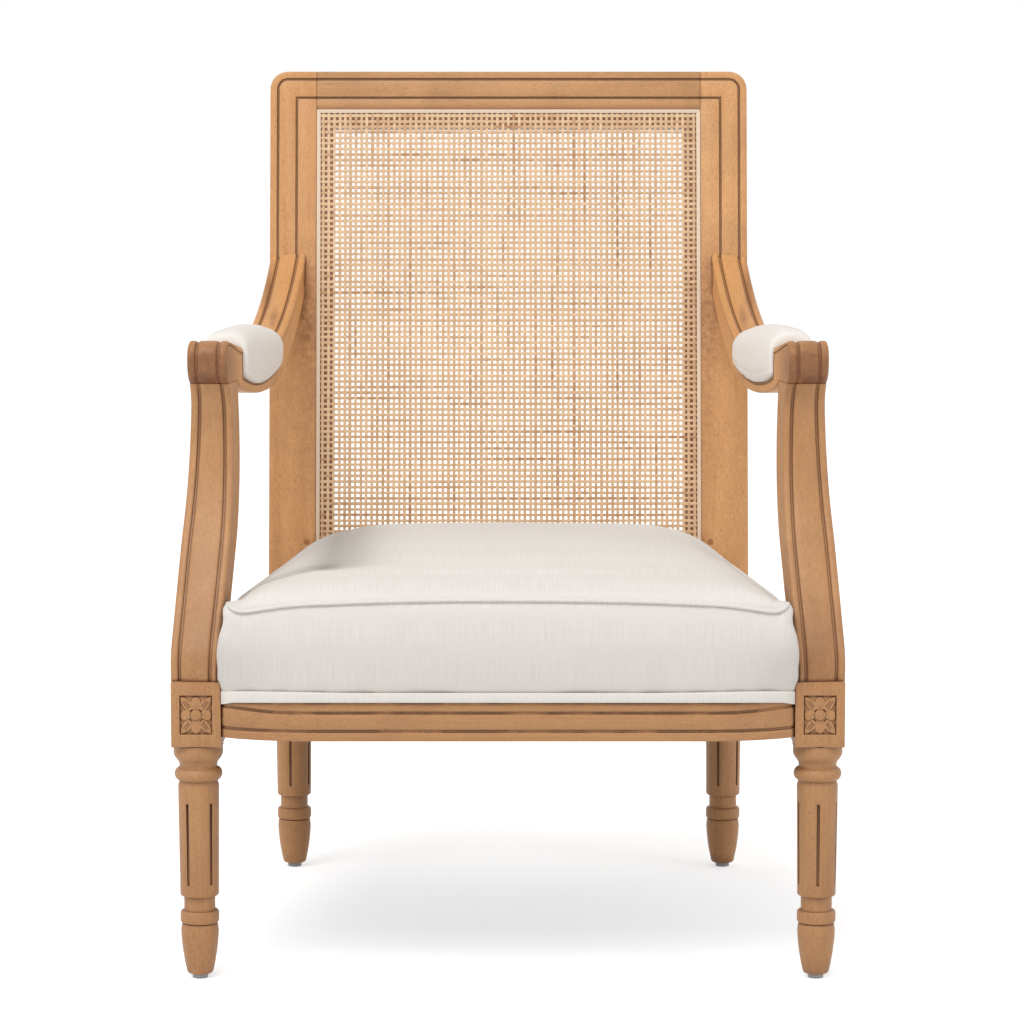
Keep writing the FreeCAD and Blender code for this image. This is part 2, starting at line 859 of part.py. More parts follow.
def cane_panel():
    """Woven panel as one sheet with open gaps in rows and columns."""
    edge = (stile_inner - size.spline_width).value
    low = (size.cane_start + size.spline_width).value
    high = (opening_top - size.spline_width).value
    back = SIZES["cane_recess"]
    columns = int(SIZES["cane_columns"])
    rows = int(SIZES["cane_rows"])
    pitch_x = 2 * edge / columns
    pitch_z = (high - low) / rows
    outline = box_wire(-edge, low, edge, high, back)
    gaps = []
    for column in range(columns):
        left = -edge + column * pitch_x
        for row in range(rows):
            bottom = low + row * pitch_z
            inset_x = pitch_x * CANE_STRAND_share * HALF
            inset_z = pitch_z * CANE_STRAND_share * HALF
            right = left + pitch_x - inset_x
            top = bottom + pitch_z - inset_z
            gaps.append(box_wire(left + inset_x, bottom + inset_z, right, top, back))
    sheet_face = Part.makeFace([outline] + gaps, "Part::FaceMakerBullseye")
    panel = document.addObject("Part::Feature", "cane_panel")
    panel.Shape = sheet_face.extrude(Vector(0, -SIZES["cane_thickness"], 0))
    panel.Placement = in_raked_frame()
    return panel


def bowed_outline(setback):
    """Plan of the front rail, its face stood back a little."""
    half = block_inner
    front = -size.rail_end + setback
    rear = -size.rail_end + size.rail_thickness
    return [
        (-half, front),
        (half, front, size.rail_bow),
        (half, rear),
        (-half, rear, -size.rail_bow),
    ]


def rail_levels():
    """Bottom and height of the three bands of a rail."""
    middle = size.rail_height - (size.rail_band + size.rail_groove) * 2
    return [
        (rail_bottom, size.rail_band),
        (rail_bottom + size.rail_band + size.rail_groove, middle),
        (rail_top - size.rail_band, size.rail_band),
    ]


def front_seat_rail():
    body = new_body("front_seat_rail", 0, front_axis)
    core = draw(body, "core", "XY_Plane", [bowed_outline(size.groove_depth)], lift=rail_bottom)
    pad(body, core, size.rail_height)
    for index, (bottom, height) in enumerate(rail_levels()):
        band = draw(body, f"band{index}", "XY_Plane", [bowed_outline(0)], lift=bottom)
        pad(body, band, height)
    return body


def side_rail_outline(side, setback):
    """Plan of a side rail between the two leg blocks."""
    front_x = size.front_leg_x + half_block - size.side_rail_reveal
    rear_x = stile_outer - size.side_rail_reveal
    front_y = front_axis + half_block
    rear_y = rear_axis - half_block
    return [
        (on_side(front_x - setback, side), front_y),
        (on_side(rear_x - setback, side), rear_y),
        (on_side(rear_x - size.rail_thickness, side), rear_y),
        (on_side(front_x - size.rail_thickness, side), front_y),
    ]


def side_seat_rail(name, side):
    body = new_body(f"side_seat_rail_{name}")
    outline = side_rail_outline(side, size.groove_depth)
    pad(body, draw(body, "core", "XY_Plane", [outline], lift=rail_bottom), size.rail_height)
    for index, (bottom, height) in enumerate(rail_levels()):
        band = draw(body, f"band{index}", "XY_Plane", [side_rail_outline(side, 0)], lift=bottom)
        pad(body, band, height)
    return body


def rear_seat_rail():
    board = document.addObject("Part::Box", "rear_seat_rail")
    bind(board, "Length", stile_inner * 2)
    bind(board, "Width", size.rail_thickness)
    bind(board, "Height", size.rail_height)
    bind(board, "Placement.Base.x", -stile_inner)
    bind(board, "Placement.Base.y", back_face + size.side_rail_reveal)
    bind(board, "Placement.Base.z", rail_bottom)
    return board


def support_outline(setback):
    """Side view of an arm support: foot, knee, lean, sweep and crest."""
    foot = block_top + size.support_foot
    knee = foot + size.knee_height
    lean = knee + size.lean_height
    sweep = lean + size.sweep_height
    front = -size.support_front
    rear = front + size.support_depth
    return [
        (front + setback, block_top),
        (rear, block_top),
        (rear, foot),
        (knee_reach + size.lean_depth, knee, -size.knee_rise),
        (lean_reach + size.lean_depth, lean),
        (support_rear, sweep, size.sweep_rise),
        (support_rear, support_top),
        (crest_reach + setback, support_top),
        (sweep_reach + setback, sweep, -size.crest_rise),
        (lean_reach + setback, lean, -size.sweep_rise),
        (knee_reach + setback, knee),
        (front + setback, foot, size.knee_rise),
    ]


def arm_outline(setback):
    """Side view of an arm: nose, brow, pad seat, rise to the stile and underside."""
    nose_y = crest_reach - size.nose_reach
    brow_y = nose_y + size.brow_reach
    pad_end = size.pad_front + size.pad_length
    end = size.arm_joint_reach
    past = end + size.arm_overrun
    under_low = support_top - size.arm_under_low
    under_end = under_low + size.arm_under_rise
    return [
        (crest_reach + setback, support_top, size.nose_rise),
        (support_rear, support_top),
        (size.arm_under_front, support_top - size.arm_under_drop),
        (size.arm_under_mid, under_low, size.arm_under_sag),
        (end, under_end, size.arm_under_swell),
        (past, under_end + size.arm_overrun),
        (past, arm_top_end + size.arm_overrun - setback),
        (end, arm_top_end - setback),
        (pad_end, arm_top_middle - setback, -size.arm_top_sag),
        (size.pad_front, arm_top_middle - setback),
        (brow_y, arm_top_front - setback),
        (nose_y + setback, support_top + size.nose_height, size.brow_rise),
    ]


def moulded(body, side, outline, width, outer_bead, inner_bead):
    """Thick outline with three proud bands: an outer bead, a flat and an inner bead."""
    half = width * HALF
    flat = width - outer_bead - inner_bead - size.groove_width * 2
    middle = inner_bead + size.groove_width - half
    pad(body, draw(body, "core", "YZ_Plane", [outline(size.groove_depth)]), width, midplane=True)
    bands = ((-half, inner_bead), (middle, flat), (half - outer_bead, outer_bead))
    for index, (start, thickness) in enumerate(bands):
        sketch = draw(body, f"band{index}", "YZ_Plane", [outline(0)], lift=on_side(start, side))
        pad(body, sketch, thickness, backwards=side < 0)


def arm_support(name, side):
    body = side_body(f"arm_support_{name}", side)
    moulded(body, side, support_outline, size.support_width, size.support_bead, size.support_inner_bead)
    return body


def arm(name, side):
    body = side_body(f"arm_{name}", side)
    moulded(body, side, arm_outline, size.arm_width, size.bead_width, size.bead_width)
    pad_end = size.pad_front + size.pad_length
    high = arm_top_front + size.overrun
    waste = [
        (size.pad_front, pad_base),
        (pad_end, pad_base, size.pad_sag),
        (pad_end, high),
        (size.pad_front, high),
    ]
    for word, turn in (("outer", 1), ("inner", -1)):
        lift = on_side(size.pad_core_width * HALF, turn)
        sketch = draw(body, f"pad_seat_{word}", "YZ_Plane", [waste], lift=lift)
        pocket(body, sketch, backwards=turn > 0)
    return body


def in_side_frame(side):
    """Placement of a shape drawn in an arm's own frame."""
    turn = FreeCAD.Rotation(Vector(0, 0, side), side_angle.value)
    return FreeCAD.Placement(Vector(side * SIZES["front_leg_x"], front_axis.value, 0), turn)


def bent(start, middle, end):
    """Arc edge through three points."""
    return Part.Arc(start, middle, end).toShape()


def straight(start, end):
    return Part.LineSegment(start, end).toShape()


def soft_piece(label, shape, placement=None):
    """A sub-part whose form is worked out from the sheet's sizes."""
    piece = document.addObject("Part::Feature", label)
    piece.Label = label
    piece.Shape = shape
    if placement is not None:
        piece.Placement = placement
    return piece


def pad_station(reach, width, crown, inset):
    """Section of an arm pad: flat sides up to the shoulders, then a low dome."""
    sag = SIZES["pad_sag"]
    half_length = SIZES["pad_length"] * HALF
    radius = (half_length * half_length + sag * sag) / (2 * sag)
    along = reach - SIZES["pad_front"] - half_length
    hollow = radius - math.sqrt(radius * radius - along * along)
    bottom = pad_base.value - sag + hollow + SIZES["pad_clearance"]
    top = arm_top_middle.value + SIZES["pad_crown"] * crown - inset
    half = SIZES["pad_width"] * HALF * width - inset
    shoulder = bottom + (top - bottom) * PAD_SHOULDER_share
    dome = top - shoulder
    edge_x = half * PAD_EDGE_share
    edge_z = shoulder + dome * PAD_EDGE_rise_share
    bend_x = half * PAD_BEND_share
    bend_z = shoulder + dome * PAD_BEND_rise_share
    right = [Vector(half, reach, bottom), Vector(half, reach, shoulder), Vector(edge_x, reach, edge_z)]
    left = [Vector(-half, reach, bottom), Vector(-half, reach, shoulder), Vector(-edge_x, reach, edge_z)]
    return Part.Wire([
        straight(left[0], right[0]),
        straight(right[0], right[1]),
        bent(right[1], Vector(bend_x, reach, bend_z), right[2]),
        bent(right[2], Vector(0, reach, top), left[2]),
        bent(left[2], Vector(-bend_x, reach, bend_z), left[1]),
        straight(left[1], left[0]),
    ])


def pad_form(inset):
    """Outer form of an arm pad, drawn in on all sides but its base."""
    start = SIZES["pad_front"] + SIZES["pad_clearance"] + inset
    length = SIZES["pad_length"] - 2 * (SIZES["pad_clearance"] + inset)
    sections = []
    for place, width, crown in PAD_shares:
        sections.append(pad_station(start + length * place, width, crown, inset))
    return Part.makeLoft(sections, True, True)


def arm_pad(name, side):
    """Cover and foam of an arm pad, open below round the arm's raised core."""
    clearance = SIZES["pad_clearance"]
    cover_thickness = SIZES["pad_cover"]
    half_core = SIZES["pad_core_width"] * HALF + clearance
    core_top = arm_top_middle.value + clearance
    low = support_top.value - SIZES["arm_under_low"]
    core = Part.makeBox(2 * half_core, SIZES["pad_length"], core_top - low)
    core.translate(Vector(-half_core, SIZES["pad_front"], low))
    foam = pad_form(cover_thickness + clearance).cut(core)
    inner = pad_form(cover_thickness)
    cover = pad_form(0).cut([inner, core])
    placement = in_side_frame(side)
    return [
        soft_piece(f"arm_pad_foam_{name}", foam, placement),
        soft_piece(f"arm_pad_cover_{name}", cover, placement),
    ]


def seat_wire(level, inset, drop=0):
    """Plan of the cushion at a level: bowed front, straight sides, rounded corners."""
    height, front_in, side_in, rear_in = level
    edge = SIZES["seat_edge_height"]
    z = (rail_top + size.seat_clearance).value + height * (edge - inset) - drop
    front_arc = (block_inner * block_inner + size.rail_bow * size.rail_bow) / (size.rail_bow * 2)
    bow_radius = front_arc.value
    front = front_axis.value - SIZES["rail_end"] - SIZES["rail_bow"] + SIZES["seat_front_inset"]
    front += front_in * edge + inset
    rear = back_face.value + SIZES["side_rail_reveal"] + SIZES["seat_rear_inset"] - rear_in * edge - inset
    reveal = SIZES["side_rail_reveal"] + SIZES["seat_side_inset"] + inset
    front_corner = (size.front_leg_x + half_block).value - reveal - side_in * edge
    rear_corner = stile_outer.value - reveal - side_in * edge * SEAT_REAR_share
    front_y = (front_axis + half_block).value
    span = back_face.value - front_y
    slope = math.atan((front_corner - rear_corner) / span)
    radius = SIZES["seat_corner_radius"] * (1 + SEAT_CORNER_share * max(0, height - 1))
    along = Vector(-math.sin(slope), math.cos(slope), 0)
    inward = Vector(-math.cos(slope), -math.sin(slope), 0)
    base = Vector(front_corner, front_y, 0) + inward * radius
    centre = Vector(0, front + bow_radius, 0)
    to_centre = base - centre
    half_b = to_centre.dot(along)
    rest = to_centre.dot(to_centre) - (bow_radius - radius) ** 2
    front_turn = base + along * (-half_b - math.sqrt(half_b * half_b - rest))
    rear_turn = base + along * ((rear - radius - base.y) / along.y)
    away = (front_turn - centre).normalize()
    on_front = centre + away * bow_radius
    side_front = front_turn - inward * radius
    side_rear = rear_turn - inward * radius
    on_rear = Vector(rear_turn.x, rear, 0)

    def corner_middle(turn, first, second):
        return turn + (first + second - turn * 2).normalize() * radius

    def mirrored(point):
        return Vector(-point.x, point.y, 0)

    front_middle = corner_middle(front_turn, on_front, side_front)
    rear_middle = corner_middle(rear_turn, side_rear, on_rear)
    edges = [
        bent(mirrored(on_front), Vector(0, front, 0), on_front),
        bent(on_front, front_middle, side_front),
        straight(side_front, side_rear),
        bent(side_rear, rear_middle, on_rear),
        straight(on_rear, mirrored(on_rear)),
        bent(mirrored(on_rear), mirrored(rear_middle), mirrored(side_rear)),
        straight(mirrored(side_rear), mirrored(side_front)),
        bent(mirrored(side_front), mirrored(front_middle), mirrored(on_front)),
    ]
    wire = Part.Wire(edges)
    wire.translate(Vector(0, 0, z))
    return wire


def seat_form(inset, drop=0):
    """The cushion's whole form, drawn in by an inset and run down by a drop."""
    sections = [seat_wire(level, inset) for level in LEVEL_shares]
    if drop:
        sections.insert(0, seat_wire(LEVEL_shares[0], inset, drop))
    return Part.makeLoft(sections, True, True)


def notches(gap):
    """Room in the cushion for the blocks, the arm supports and the stiles."""
    shapes = []
    low = (rail_top - size.overrun).value
    reach = SIZES["block_side"] * 2
    high = lean_top.value
    foot = (block_top + size.support_foot).value
    knee = foot + SIZES["knee_height"]
    rear = SIZES["support_depth"] - SIZES["support_front"] + gap
    for name, side in SIDES:
        block = Part.makeBox(reach, reach, block_top.value + gap - low)
        block_x = block_inner.value - gap
        block.translate(Vector(block_x, (front_axis + half_block).value + gap - reach, low))
        stile = Part.makeBox(reach, reach, high - low)
        stile.translate(Vector(stile_inner.value - gap, back_face.value - gap, low))
        if side < 0:
            block = block.mirror(Vector(0, 0, 0), Vector(1, 0, 0))
            stile = stile.mirror(Vector(0, 0, 0), Vector(1, 0, 0))
        outline = Part.makePolygon([
            Vector(0, -reach, foot - SIZES["support_foot"]),
            Vector(0, rear, foot - SIZES["support_foot"]),
            Vector(0, rear, foot),
            Vector(0, (knee_reach + size.lean_depth).value + gap, knee),
            Vector(0, (lean_reach + size.lean_depth).value + gap, high),
            Vector(0, -reach, high),
            Vector(0, -reach, foot - SIZES["support_foot"]),
        ])
        outline.translate(Vector(-side * (half_support.value + gap), 0, 0))
        support = Part.Face(outline).extrude(Vector(side * reach, 0, 0))
        support.Placement = in_side_frame(side).multiply(support.Placement)
        shapes += [block, support, stile]
    return shapes


def notched(shape, gap, others=()):
    return shape.cut(notches(gap) + list(others))


def seat():
    """Foam, cover, band and piping of the tight seat."""
    gap = SIZES["notch_gap"]
    cover = SIZES["seat_cover"]
    layer = SIZES["layer_gap"]
    half_table = SIZES["front_leg_x"] * TABLE_share
    table = Part.makeBox(2 * half_table, 2 * half_table, deck_top.value + layer)
    table.translate(Vector(-half_table, -half_table, 0))
    room = notched(seat_form(cover, SIZES["overrun"]), gap + cover)
    skin = notched(seat_form(0), gap, [room])
    foam = notched(seat_form(cover + layer), gap + cover + layer, [table])
    outer = Part.Face(seat_wire(LEVEL_shares[0], -SIZES["band_thickness"] - layer))
    ring = outer.cut(Part.Face(seat_wire(LEVEL_shares[0], -layer)))
    band = notched(ring.extrude(Vector(0, 0, SIZES["band_height"])), gap)
    path = seat_wire(PIPING_level_share, -SIZES["piping_radius"] - layer)
    start = path.Edges[0].Curve.value(path.Edges[0].FirstParameter)
    heading = path.Edges[0].tangentAt(path.Edges[0].FirstParameter)
    section = Part.Wire([Part.makeCircle(SIZES["piping_radius"], start, heading)])
    piping = path.makePipeShell([section], True, False)
    return [
        soft_piece("seat_foam", foam),
        soft_piece("seat_cover", skin),
        soft_piece("seat_band", band),
        soft_piece("seat_piping", piping),
    ]


strap_base = rail_top + size.layer_gap
cross_base = strap_base + size.strap_thickness + size.layer_gap
deck_base = cross_base + size.strap_thickness + size.layer_gap
deck_top = deck_base + size.deck_thickness


def plate(name, left, front, base, width, depth, height):
    """Plain board or strap."""
    box = document.addObject("Part::Box", name)
    bind(box, "Length", width)
    bind(box, "Width", depth)
    bind(box, "Height", height)
    bind(box, "Placement.Base.x", left)
    bind(box, "Placement.Base.y", front)
    bind(box, "Placement.Base.z", base)
    return box


def side_rail_outer(y):
    """How far out the side rail's face is, at a place along it."""
    front_x = size.front_leg_x + half_block - size.side_rail_reveal
    rear_x = stile_outer - size.side_rail_reveal
    share = (y - front_axis - half_block) / (back_face - front_axis - half_block)
    return front_x + (rear_x - front_x) * share


def webbing():
    """Straps from front to back, crossed by straps from side to side."""
    front = front_axis - size.rail_end - size.strap_end - size.seat_clearance
    rear = back_face + size.side_rail_reveal + size.seat_rear_inset - size.strap_end
    clear = stile_inner - size.strap_end
    pitch = clear * 2 / size.long_strap_count
    lengthwise = []
    for index in range(int(SIZES["long_strap_count"])):
        middle = pitch * (index + HALF) - clear
        left = middle - size.strap_width * HALF
        extent = (size.strap_width, rear - front, size.strap_thickness)
        strap = plate(f"long_strap{index}", left, front, strap_base, *extent)
        lengthwise.append(strap)
    crosswise = []
    run_start = front_axis + half_block
    step = (back_face - run_start) / size.cross_strap_count
    for index in range(int(SIZES["cross_strap_count"])):
        middle = run_start + step * (index + HALF)
        half = side_rail_outer(middle) - size.strap_end
        front_y = middle - size.strap_width * HALF
        extent = (half * 2, size.strap_width, size.strap_thickness)
        strap = plate(f"cross_strap{index}", -half, front_y, cross_base, *extent)
        crosswise.append(strap)
    return lengthwise, crosswise


def staple(x, y, z, along_x, point):
    """Wire staple: crown and two legs; point is -1 for legs down, 1 for legs up."""
    wire = SIZES["staple_wire"]
    crown = SIZES["staple_crown"]
    leg = SIZES["staple_leg"]
    length = (crown, wire) if along_x else (wire, crown)
    top = Part.makeBox(length[0], length[1], wire)
    top.translate(Vector(x - length[0] * HALF, y - length[1] * HALF, z))
    shape = top
    shift = (crown - wire) * HALF
    for way in (-1, 1):
        at_x = x + way * shift * along_x
        at_y = y + way * shift * (1 - along_x)
        low = z - leg if point < 0 else z
        prong = Part.makeBox(wire, wire, leg + wire)
        prong.translate(Vector(at_x - wire * HALF, at_y - wire * HALF, low))
        shape = shape.fuse(prong)
    return shape.removeSplitter()


def strap_staples(lengthwise, crosswise):
    """One staple across each end of each strap."""
    inset = SIZES["strap_end"] * HALF
    shapes = []
    for strap in lengthwise:
        box = strap.Shape.BoundBox
        for y in (box.YMin + inset, box.YMax - inset):
            shapes.append(staple(box.Center.x, y, box.ZMax, 1, -1))
    for strap in crosswise:
        box = strap.Shape.BoundBox
        for x in (box.XMin + inset, box.XMax - inset):
            shapes.append(staple(x, box.Center.y, box.ZMax, 0, -1))
    return soft_piece("webbing_staples", Part.makeCompound(shapes))


def deck_cloth():
    """Cloth between the straps and the foam."""
    gap = SIZES["deck_inset"]
    outline = Part.Face(seat_wire(LEVEL_shares[0], gap))
    cloth = outline.extrude(Vector(0, 0, SIZES["deck_thickness"]))
    lift = (deck_base - rail_top - size.seat_clearance).value
    cloth.translate(Vector(0, 0, lift))
    return soft_piece("deck_cloth", notched(cloth, gap))


def dust_cover():
    """Thin cloth under the rails, cut round the leg blocks."""
    body = new_body("dust_cover", 0, 0)
    inset = size.dust_cover_inset
    clear = size.layer_gap
    front_x = block_inner - clear
    front_y = front_axis - size.rail_end + inset
    block_y = front_axis + half_block + clear
    side_front = size.front_leg_x + half_block - size.side_rail_reveal - inset
    side_rear = stile_outer - size.side_rail_reveal - inset
    rear_y = back_face - clear
    rear_x = stile_inner - clear
    end_y = back_face + size.side_rail_reveal + size.rail_thickness - inset
    right = [
        (front_x, front_y, size.rail_bow),
        (front_x, block_y),
        (side_front, block_y),
        (side_rear, rear_y),
        (rear_x, rear_y),
        (rear_x, end_y),
    ]
    left = [(-point[0], point[1]) for point in reversed(right)]
    base = rail_bottom - size.layer_gap - size.dust_cover_thickness
    sketch = draw(body, "outline", "XY_Plane", [right + left], lift=base)
    pad(body, sketch, size.dust_cover_thickness)
    return body


def dust_staples():
    """Staples up through the dust cover into the four rails."""
    z = (rail_bottom - size.layer_gap - size.dust_cover_thickness - size.staple_wire).value
    count = int(SIZES["dust_staple_count"])
    inset = SIZES["dust_cover_inset"] + SIZES["staple_crown"] * HALF
    half = block_inner.value
    shapes = []
    for index in range(count):
        share = (index + HALF) / count
        spread = (2 * share - 1) * STAPLE_SPREAD_share
        x = half * spread
        bow = SIZES["rail_bow"] * (1 - (x / half) ** 2)
        front_y = front_axis.value - SIZES["rail_end"] - bow + inset
        shapes.append(staple(x, front_y, z, 1, 1))
        rear_y = (back_face + size.side_rail_reveal + size.rail_thickness).value - inset
        shapes.append(staple(stile_inner.value * spread, rear_y, z, 1, 1))
        y = (front_axis + half_block).value + share * (back_face - front_axis - half_block).value
        for way in (-1, 1):
            side_x = side_rail_outer(sized(y)).value - inset
            shapes.append(staple(way * side_x, y, z, 0, 1))
    return soft_piece("dust_cover_staples", Part.makeCompound(shapes))


def wood_screw(word, length, at, direction):
    """Flat-headed screw, its head at the start."""
    shank = cylinder(word + "_shank", size.screw_radius, length, at, direction)
    head = cylinder(word + "_head", size.screw_head_radius, size.screw_head_height, at, direction)
    screw = document.addObject("Part::Fuse", word)
    screw.Base = shank
    screw.Tool = head
    return screw


def corner_block(name, side, end):
    """Glue block in a corner of the seat frame; end is -1 in front, 1 at the rear."""
    label = "front" if end < 0 else "rear"
    body = new_body(f"corner_block_{label}_{name}")
    if end < 0:
        x = size.front_leg_x + half_block - size.side_rail_reveal - size.rail_thickness * HALF
        y = front_axis - size.rail_end + size.rail_thickness * HALF
    else:
        x = stile_outer - size.side_rail_reveal - size.rail_thickness * HALF
        y = back_face + size.side_rail_reveal + size.rail_thickness * HALF
    leg = size.corner_block_leg
    outline = [
        (on_side(x, side), y),
        (on_side(x, side), y - leg * end),
        (on_side(x - leg, side), y),
    ]
    base = rail_bottom + size.corner_block_margin
    sketch = draw(body, "outline", "XY_Plane", [outline], lift=base)
    pad(body, sketch, size.rail_height - size.corner_block_margin * 2)
    if end < 0:
        notch = (block_inner, front_axis + half_block)
    else:
        notch = (stile_inner, back_face)
    across = (leg - (x - notch[0]) - (y - notch[1]) * end) * HALF
    start = (on_side(notch[0] - across, side), notch[1] - across * end)
    screws = []
    middle = rail_bottom + size.rail_height * HALF
    direction = (side, end, 0)
    for turn in (-1, 1):
        z = middle + size.dowel_pitch * HALF * turn
        word = f"screw_{label}_{name}{(turn + 1) // 2}"
        screws.append(wood_screw(word, size.screw_length, (*start, z), direction))
    return body, screws


def glide(label, side, x, y):
    """Plastic disc under a foot and the nail through it."""
    under = (on_side(x, side), y, 0)
    disc = cylinder(f"glide_{label}_disc", size.glide_radius, size.glide_height, under, (0, 0, 1))
    at = (on_side(x, side), y, size.glide_height * HALF)
    shank = cylinder(f"nail_{label}_shank", size.nail_radius, size.nail_length, at, (0, 0, 1))
    head_radius = size.nail_radius * NAIL_HEAD_share
    head = cylinder(f"nail_{label}_head", head_radius, size.nail_radius, at, (0, 0, 1))
    nail = document.addObject("Part::Fuse", f"nail_{label}")
    nail.Base = shank
    nail.Tool = head
    return disc, nail


def dowel_pair(name, places, direction):
    """Dowels of one joint, one for each place."""
    pair = []
    for index, place in enumerate(places):
        word = f"dowel_{name}{index}"
        pair.append(cylinder(word, size.dowel_radius, size.dowel_length, place, direction))
    return pair


def stile_rear(z):
    """Place in Y of a stile's rear face at a height."""
    low_y = rear_axis + half_block
    high_y, high_z = raked_point(size.back_length, size.stile_top_depth)
    return low_y + (high_y - low_y) * (z - size.kink_height) / (high_z - size.kink_height)


half_dowel = size.dowel_length * HALF
rail_middle = rail_bottom + size.rail_height * HALF
dowel_levels = (rail_middle - size.dowel_pitch * HALF, rail_middle + size.dowel_pitch * HALF)
front_rail_line = front_axis - size.rail_end + size.rail_thickness * HALF
rear_rail_line = back_face + size.side_rail_reveal + size.rail_thickness * HALF
side_rail_front = size.front_leg_x + half_block - size.side_rail_reveal - size.rail_thickness * HALF
side_rail_rear = stile_outer - size.side_rail_reveal - size.rail_thickness * HALF

pieces = []
splines = cane_splines()
lengthwise, crosswise = webbing()
document.recompute()
webbing_staples = strap_staples(lengthwise, crosswise)
cover_staples = dust_staples()
lower_rail = lower_back_rail()
upper_rail = top_rail()
front_rail = front_seat_rail()
back_rail_board = rear_seat_rail()

seat_dowels = []
top_dowels = []
support_dowels = []
arm_screws = []
pegs = []
nails = []
block_screws = []
front_rail_tools = [webbing_staples, cover_staples]
rear_rail_tools = [webbing_staples, cover_staples]
lower_rail_tools = list(splines)
upper_rail_tools = list(splines)

for name, side in SIDES:
    start_x = on_side(block_inner - half_dowel, side)
    places = [(start_x, front_rail_line, z) for z in dowel_levels]
    front_dowels = dowel_pair(f"front_{name}", places, (side, 0, 0))
    start_y = front_axis + half_block - half_dowel
    places = [(on_side(side_rail_front, side), start_y, z) for z in dowel_levels]
    side_front_dowels = dowel_pair(f"side_front_{name}", places, (0, 1, 0))
    start_y = back_face - half_dowel
    places = [(on_side(side_rail_rear, side), start_y, z) for z in dowel_levels]
    side_rear_dowels = dowel_pair(f"side_rear_{name}", places, (0, 1, 0))
    start_x = on_side(stile_inner - half_dowel, side)
    places = [(start_x, rear_rail_line, z) for z in dowel_levels]
    rear_dowels = dowel_pair(f"rear_{name}", places, (side, 0, 0))
    seat_dowels += front_dowels + side_front_dowels + side_rear_dowels + rear_dowels

    middle = size.back_length - size.top_rail_height * HALF
    heights = (middle - size.dowel_pitch * HALF, middle + size.dowel_pitch * HALF)
    places = [(start_x, *raked_point(height, size.stile_top_depth * HALF)) for height in heights]
    back_dowels = dowel_pair(f"top_{name}", places, (side, 0, 0))
    top_dowels += back_dowels

    foot_x, foot_y = side_point(side, sized(0))
    crest_x, crest_y = side_point(side, (crest_reach + support_rear) * HALF)
    places = [(foot_x, foot_y, block_top - half_dowel)]
    low_dowel = dowel_pair(f"support_foot_{name}", places, (0, 0, 1))
    places = [(crest_x, crest_y, support_top - half_dowel)]
    high_dowel = dowel_pair(f"support_top_{name}", places, (0, 0, 1))
    support_dowels += low_dowel + high_dowel

    screw_z = arm_top_end - size.arm_screw_drop
    screw_reach = (stile_rear(screw_z) + size.arm_screw_proud - front_axis) / side_cosine
    at = (*side_point(side, screw_reach), screw_z)
    back_turn = FreeCAD.Rotation(Vector(0, 0, side), side_angle.value)
    direction = back_turn.multVec(Vector(0, -1, 0))
    arm_screw = wood_screw(f"arm_screw_{name}", size.arm_screw_length, at, direction)
    arm_screws.append(arm_screw)

    peg_x = on_side(stile_inner + size.peg_inset, side)
    peg_at = (peg_x, *raked_point(size.peg_height, sized(0)))
    peg = cylinder(f"peg_{name}", size.peg_radius, size.peg_length, peg_at, (0, 1, 0), size.rake_angle + 90)
    pegs.append(peg)

    front_block, front_screws = corner_block(name, side, -1)
    rear_block, rear_screws = corner_block(name, side, 1)
    block_screws += front_screws + rear_screws
    front_disc, front_nail = glide(f"front_{name}", side, size.front_leg_x, front_axis)
    rear_disc, rear_nail = glide(f"rear_{name}", side, size.rear_leg_x, rear_axis)
    nails += [front_nail, rear_nail]
    pieces.append(fitted(f"glide_front_{name}", front_disc, [front_nail]))
    pieces.append(fitted(f"glide_rear_{name}", rear_disc, [rear_nail]))

    front_blank = front_leg(name, side)
    rear_blank = rear_leg(name, side)
    side_blank = side_seat_rail(name, side)
    support_blank = arm_support(name, side)
    arm_blank = arm(name, side)
    front_tools = front_dowels + side_front_dowels + low_dowel + front_screws + [front_nail]
    pieces.append(fitted(f"front_leg_{name}", front_blank, front_tools))
    rear_tools = side_rear_dowels + rear_dowels + back_dowels + rear_screws + splines
    rear_tools += [rear_nail, lower_rail, peg, arm_screw]
    pieces.append(fitted(f"rear_leg_{name}", rear_blank, rear_tools))
    side_tools = side_front_dowels + side_rear_dowels + [webbing_staples, cover_staples]
    pieces.append(fitted(f"side_seat_rail_{name}", side_blank, side_tools))
    pieces.append(fitted(f"arm_support_{name}", support_blank, low_dowel + high_dowel))
    pieces.append(fitted(f"arm_{name}", arm_blank, high_dowel + [arm_screw, rear_blank]))
    rails = [front_rail, side_blank, front_blank] + front_screws
    pieces.append(fitted(f"corner_block_front_{name}", front_block, rails))
    rails = [back_rail_board, side_blank, rear_blank] + rear_screws
    pieces.append(fitted(f"corner_block_rear_{name}", rear_block, rails))
    pieces += arm_pad(name, side)
    front_rail_tools += front_dowels
    rear_rail_tools += rear_dowels
    lower_rail_tools.append(peg)
    upper_rail_tools += back_dowels

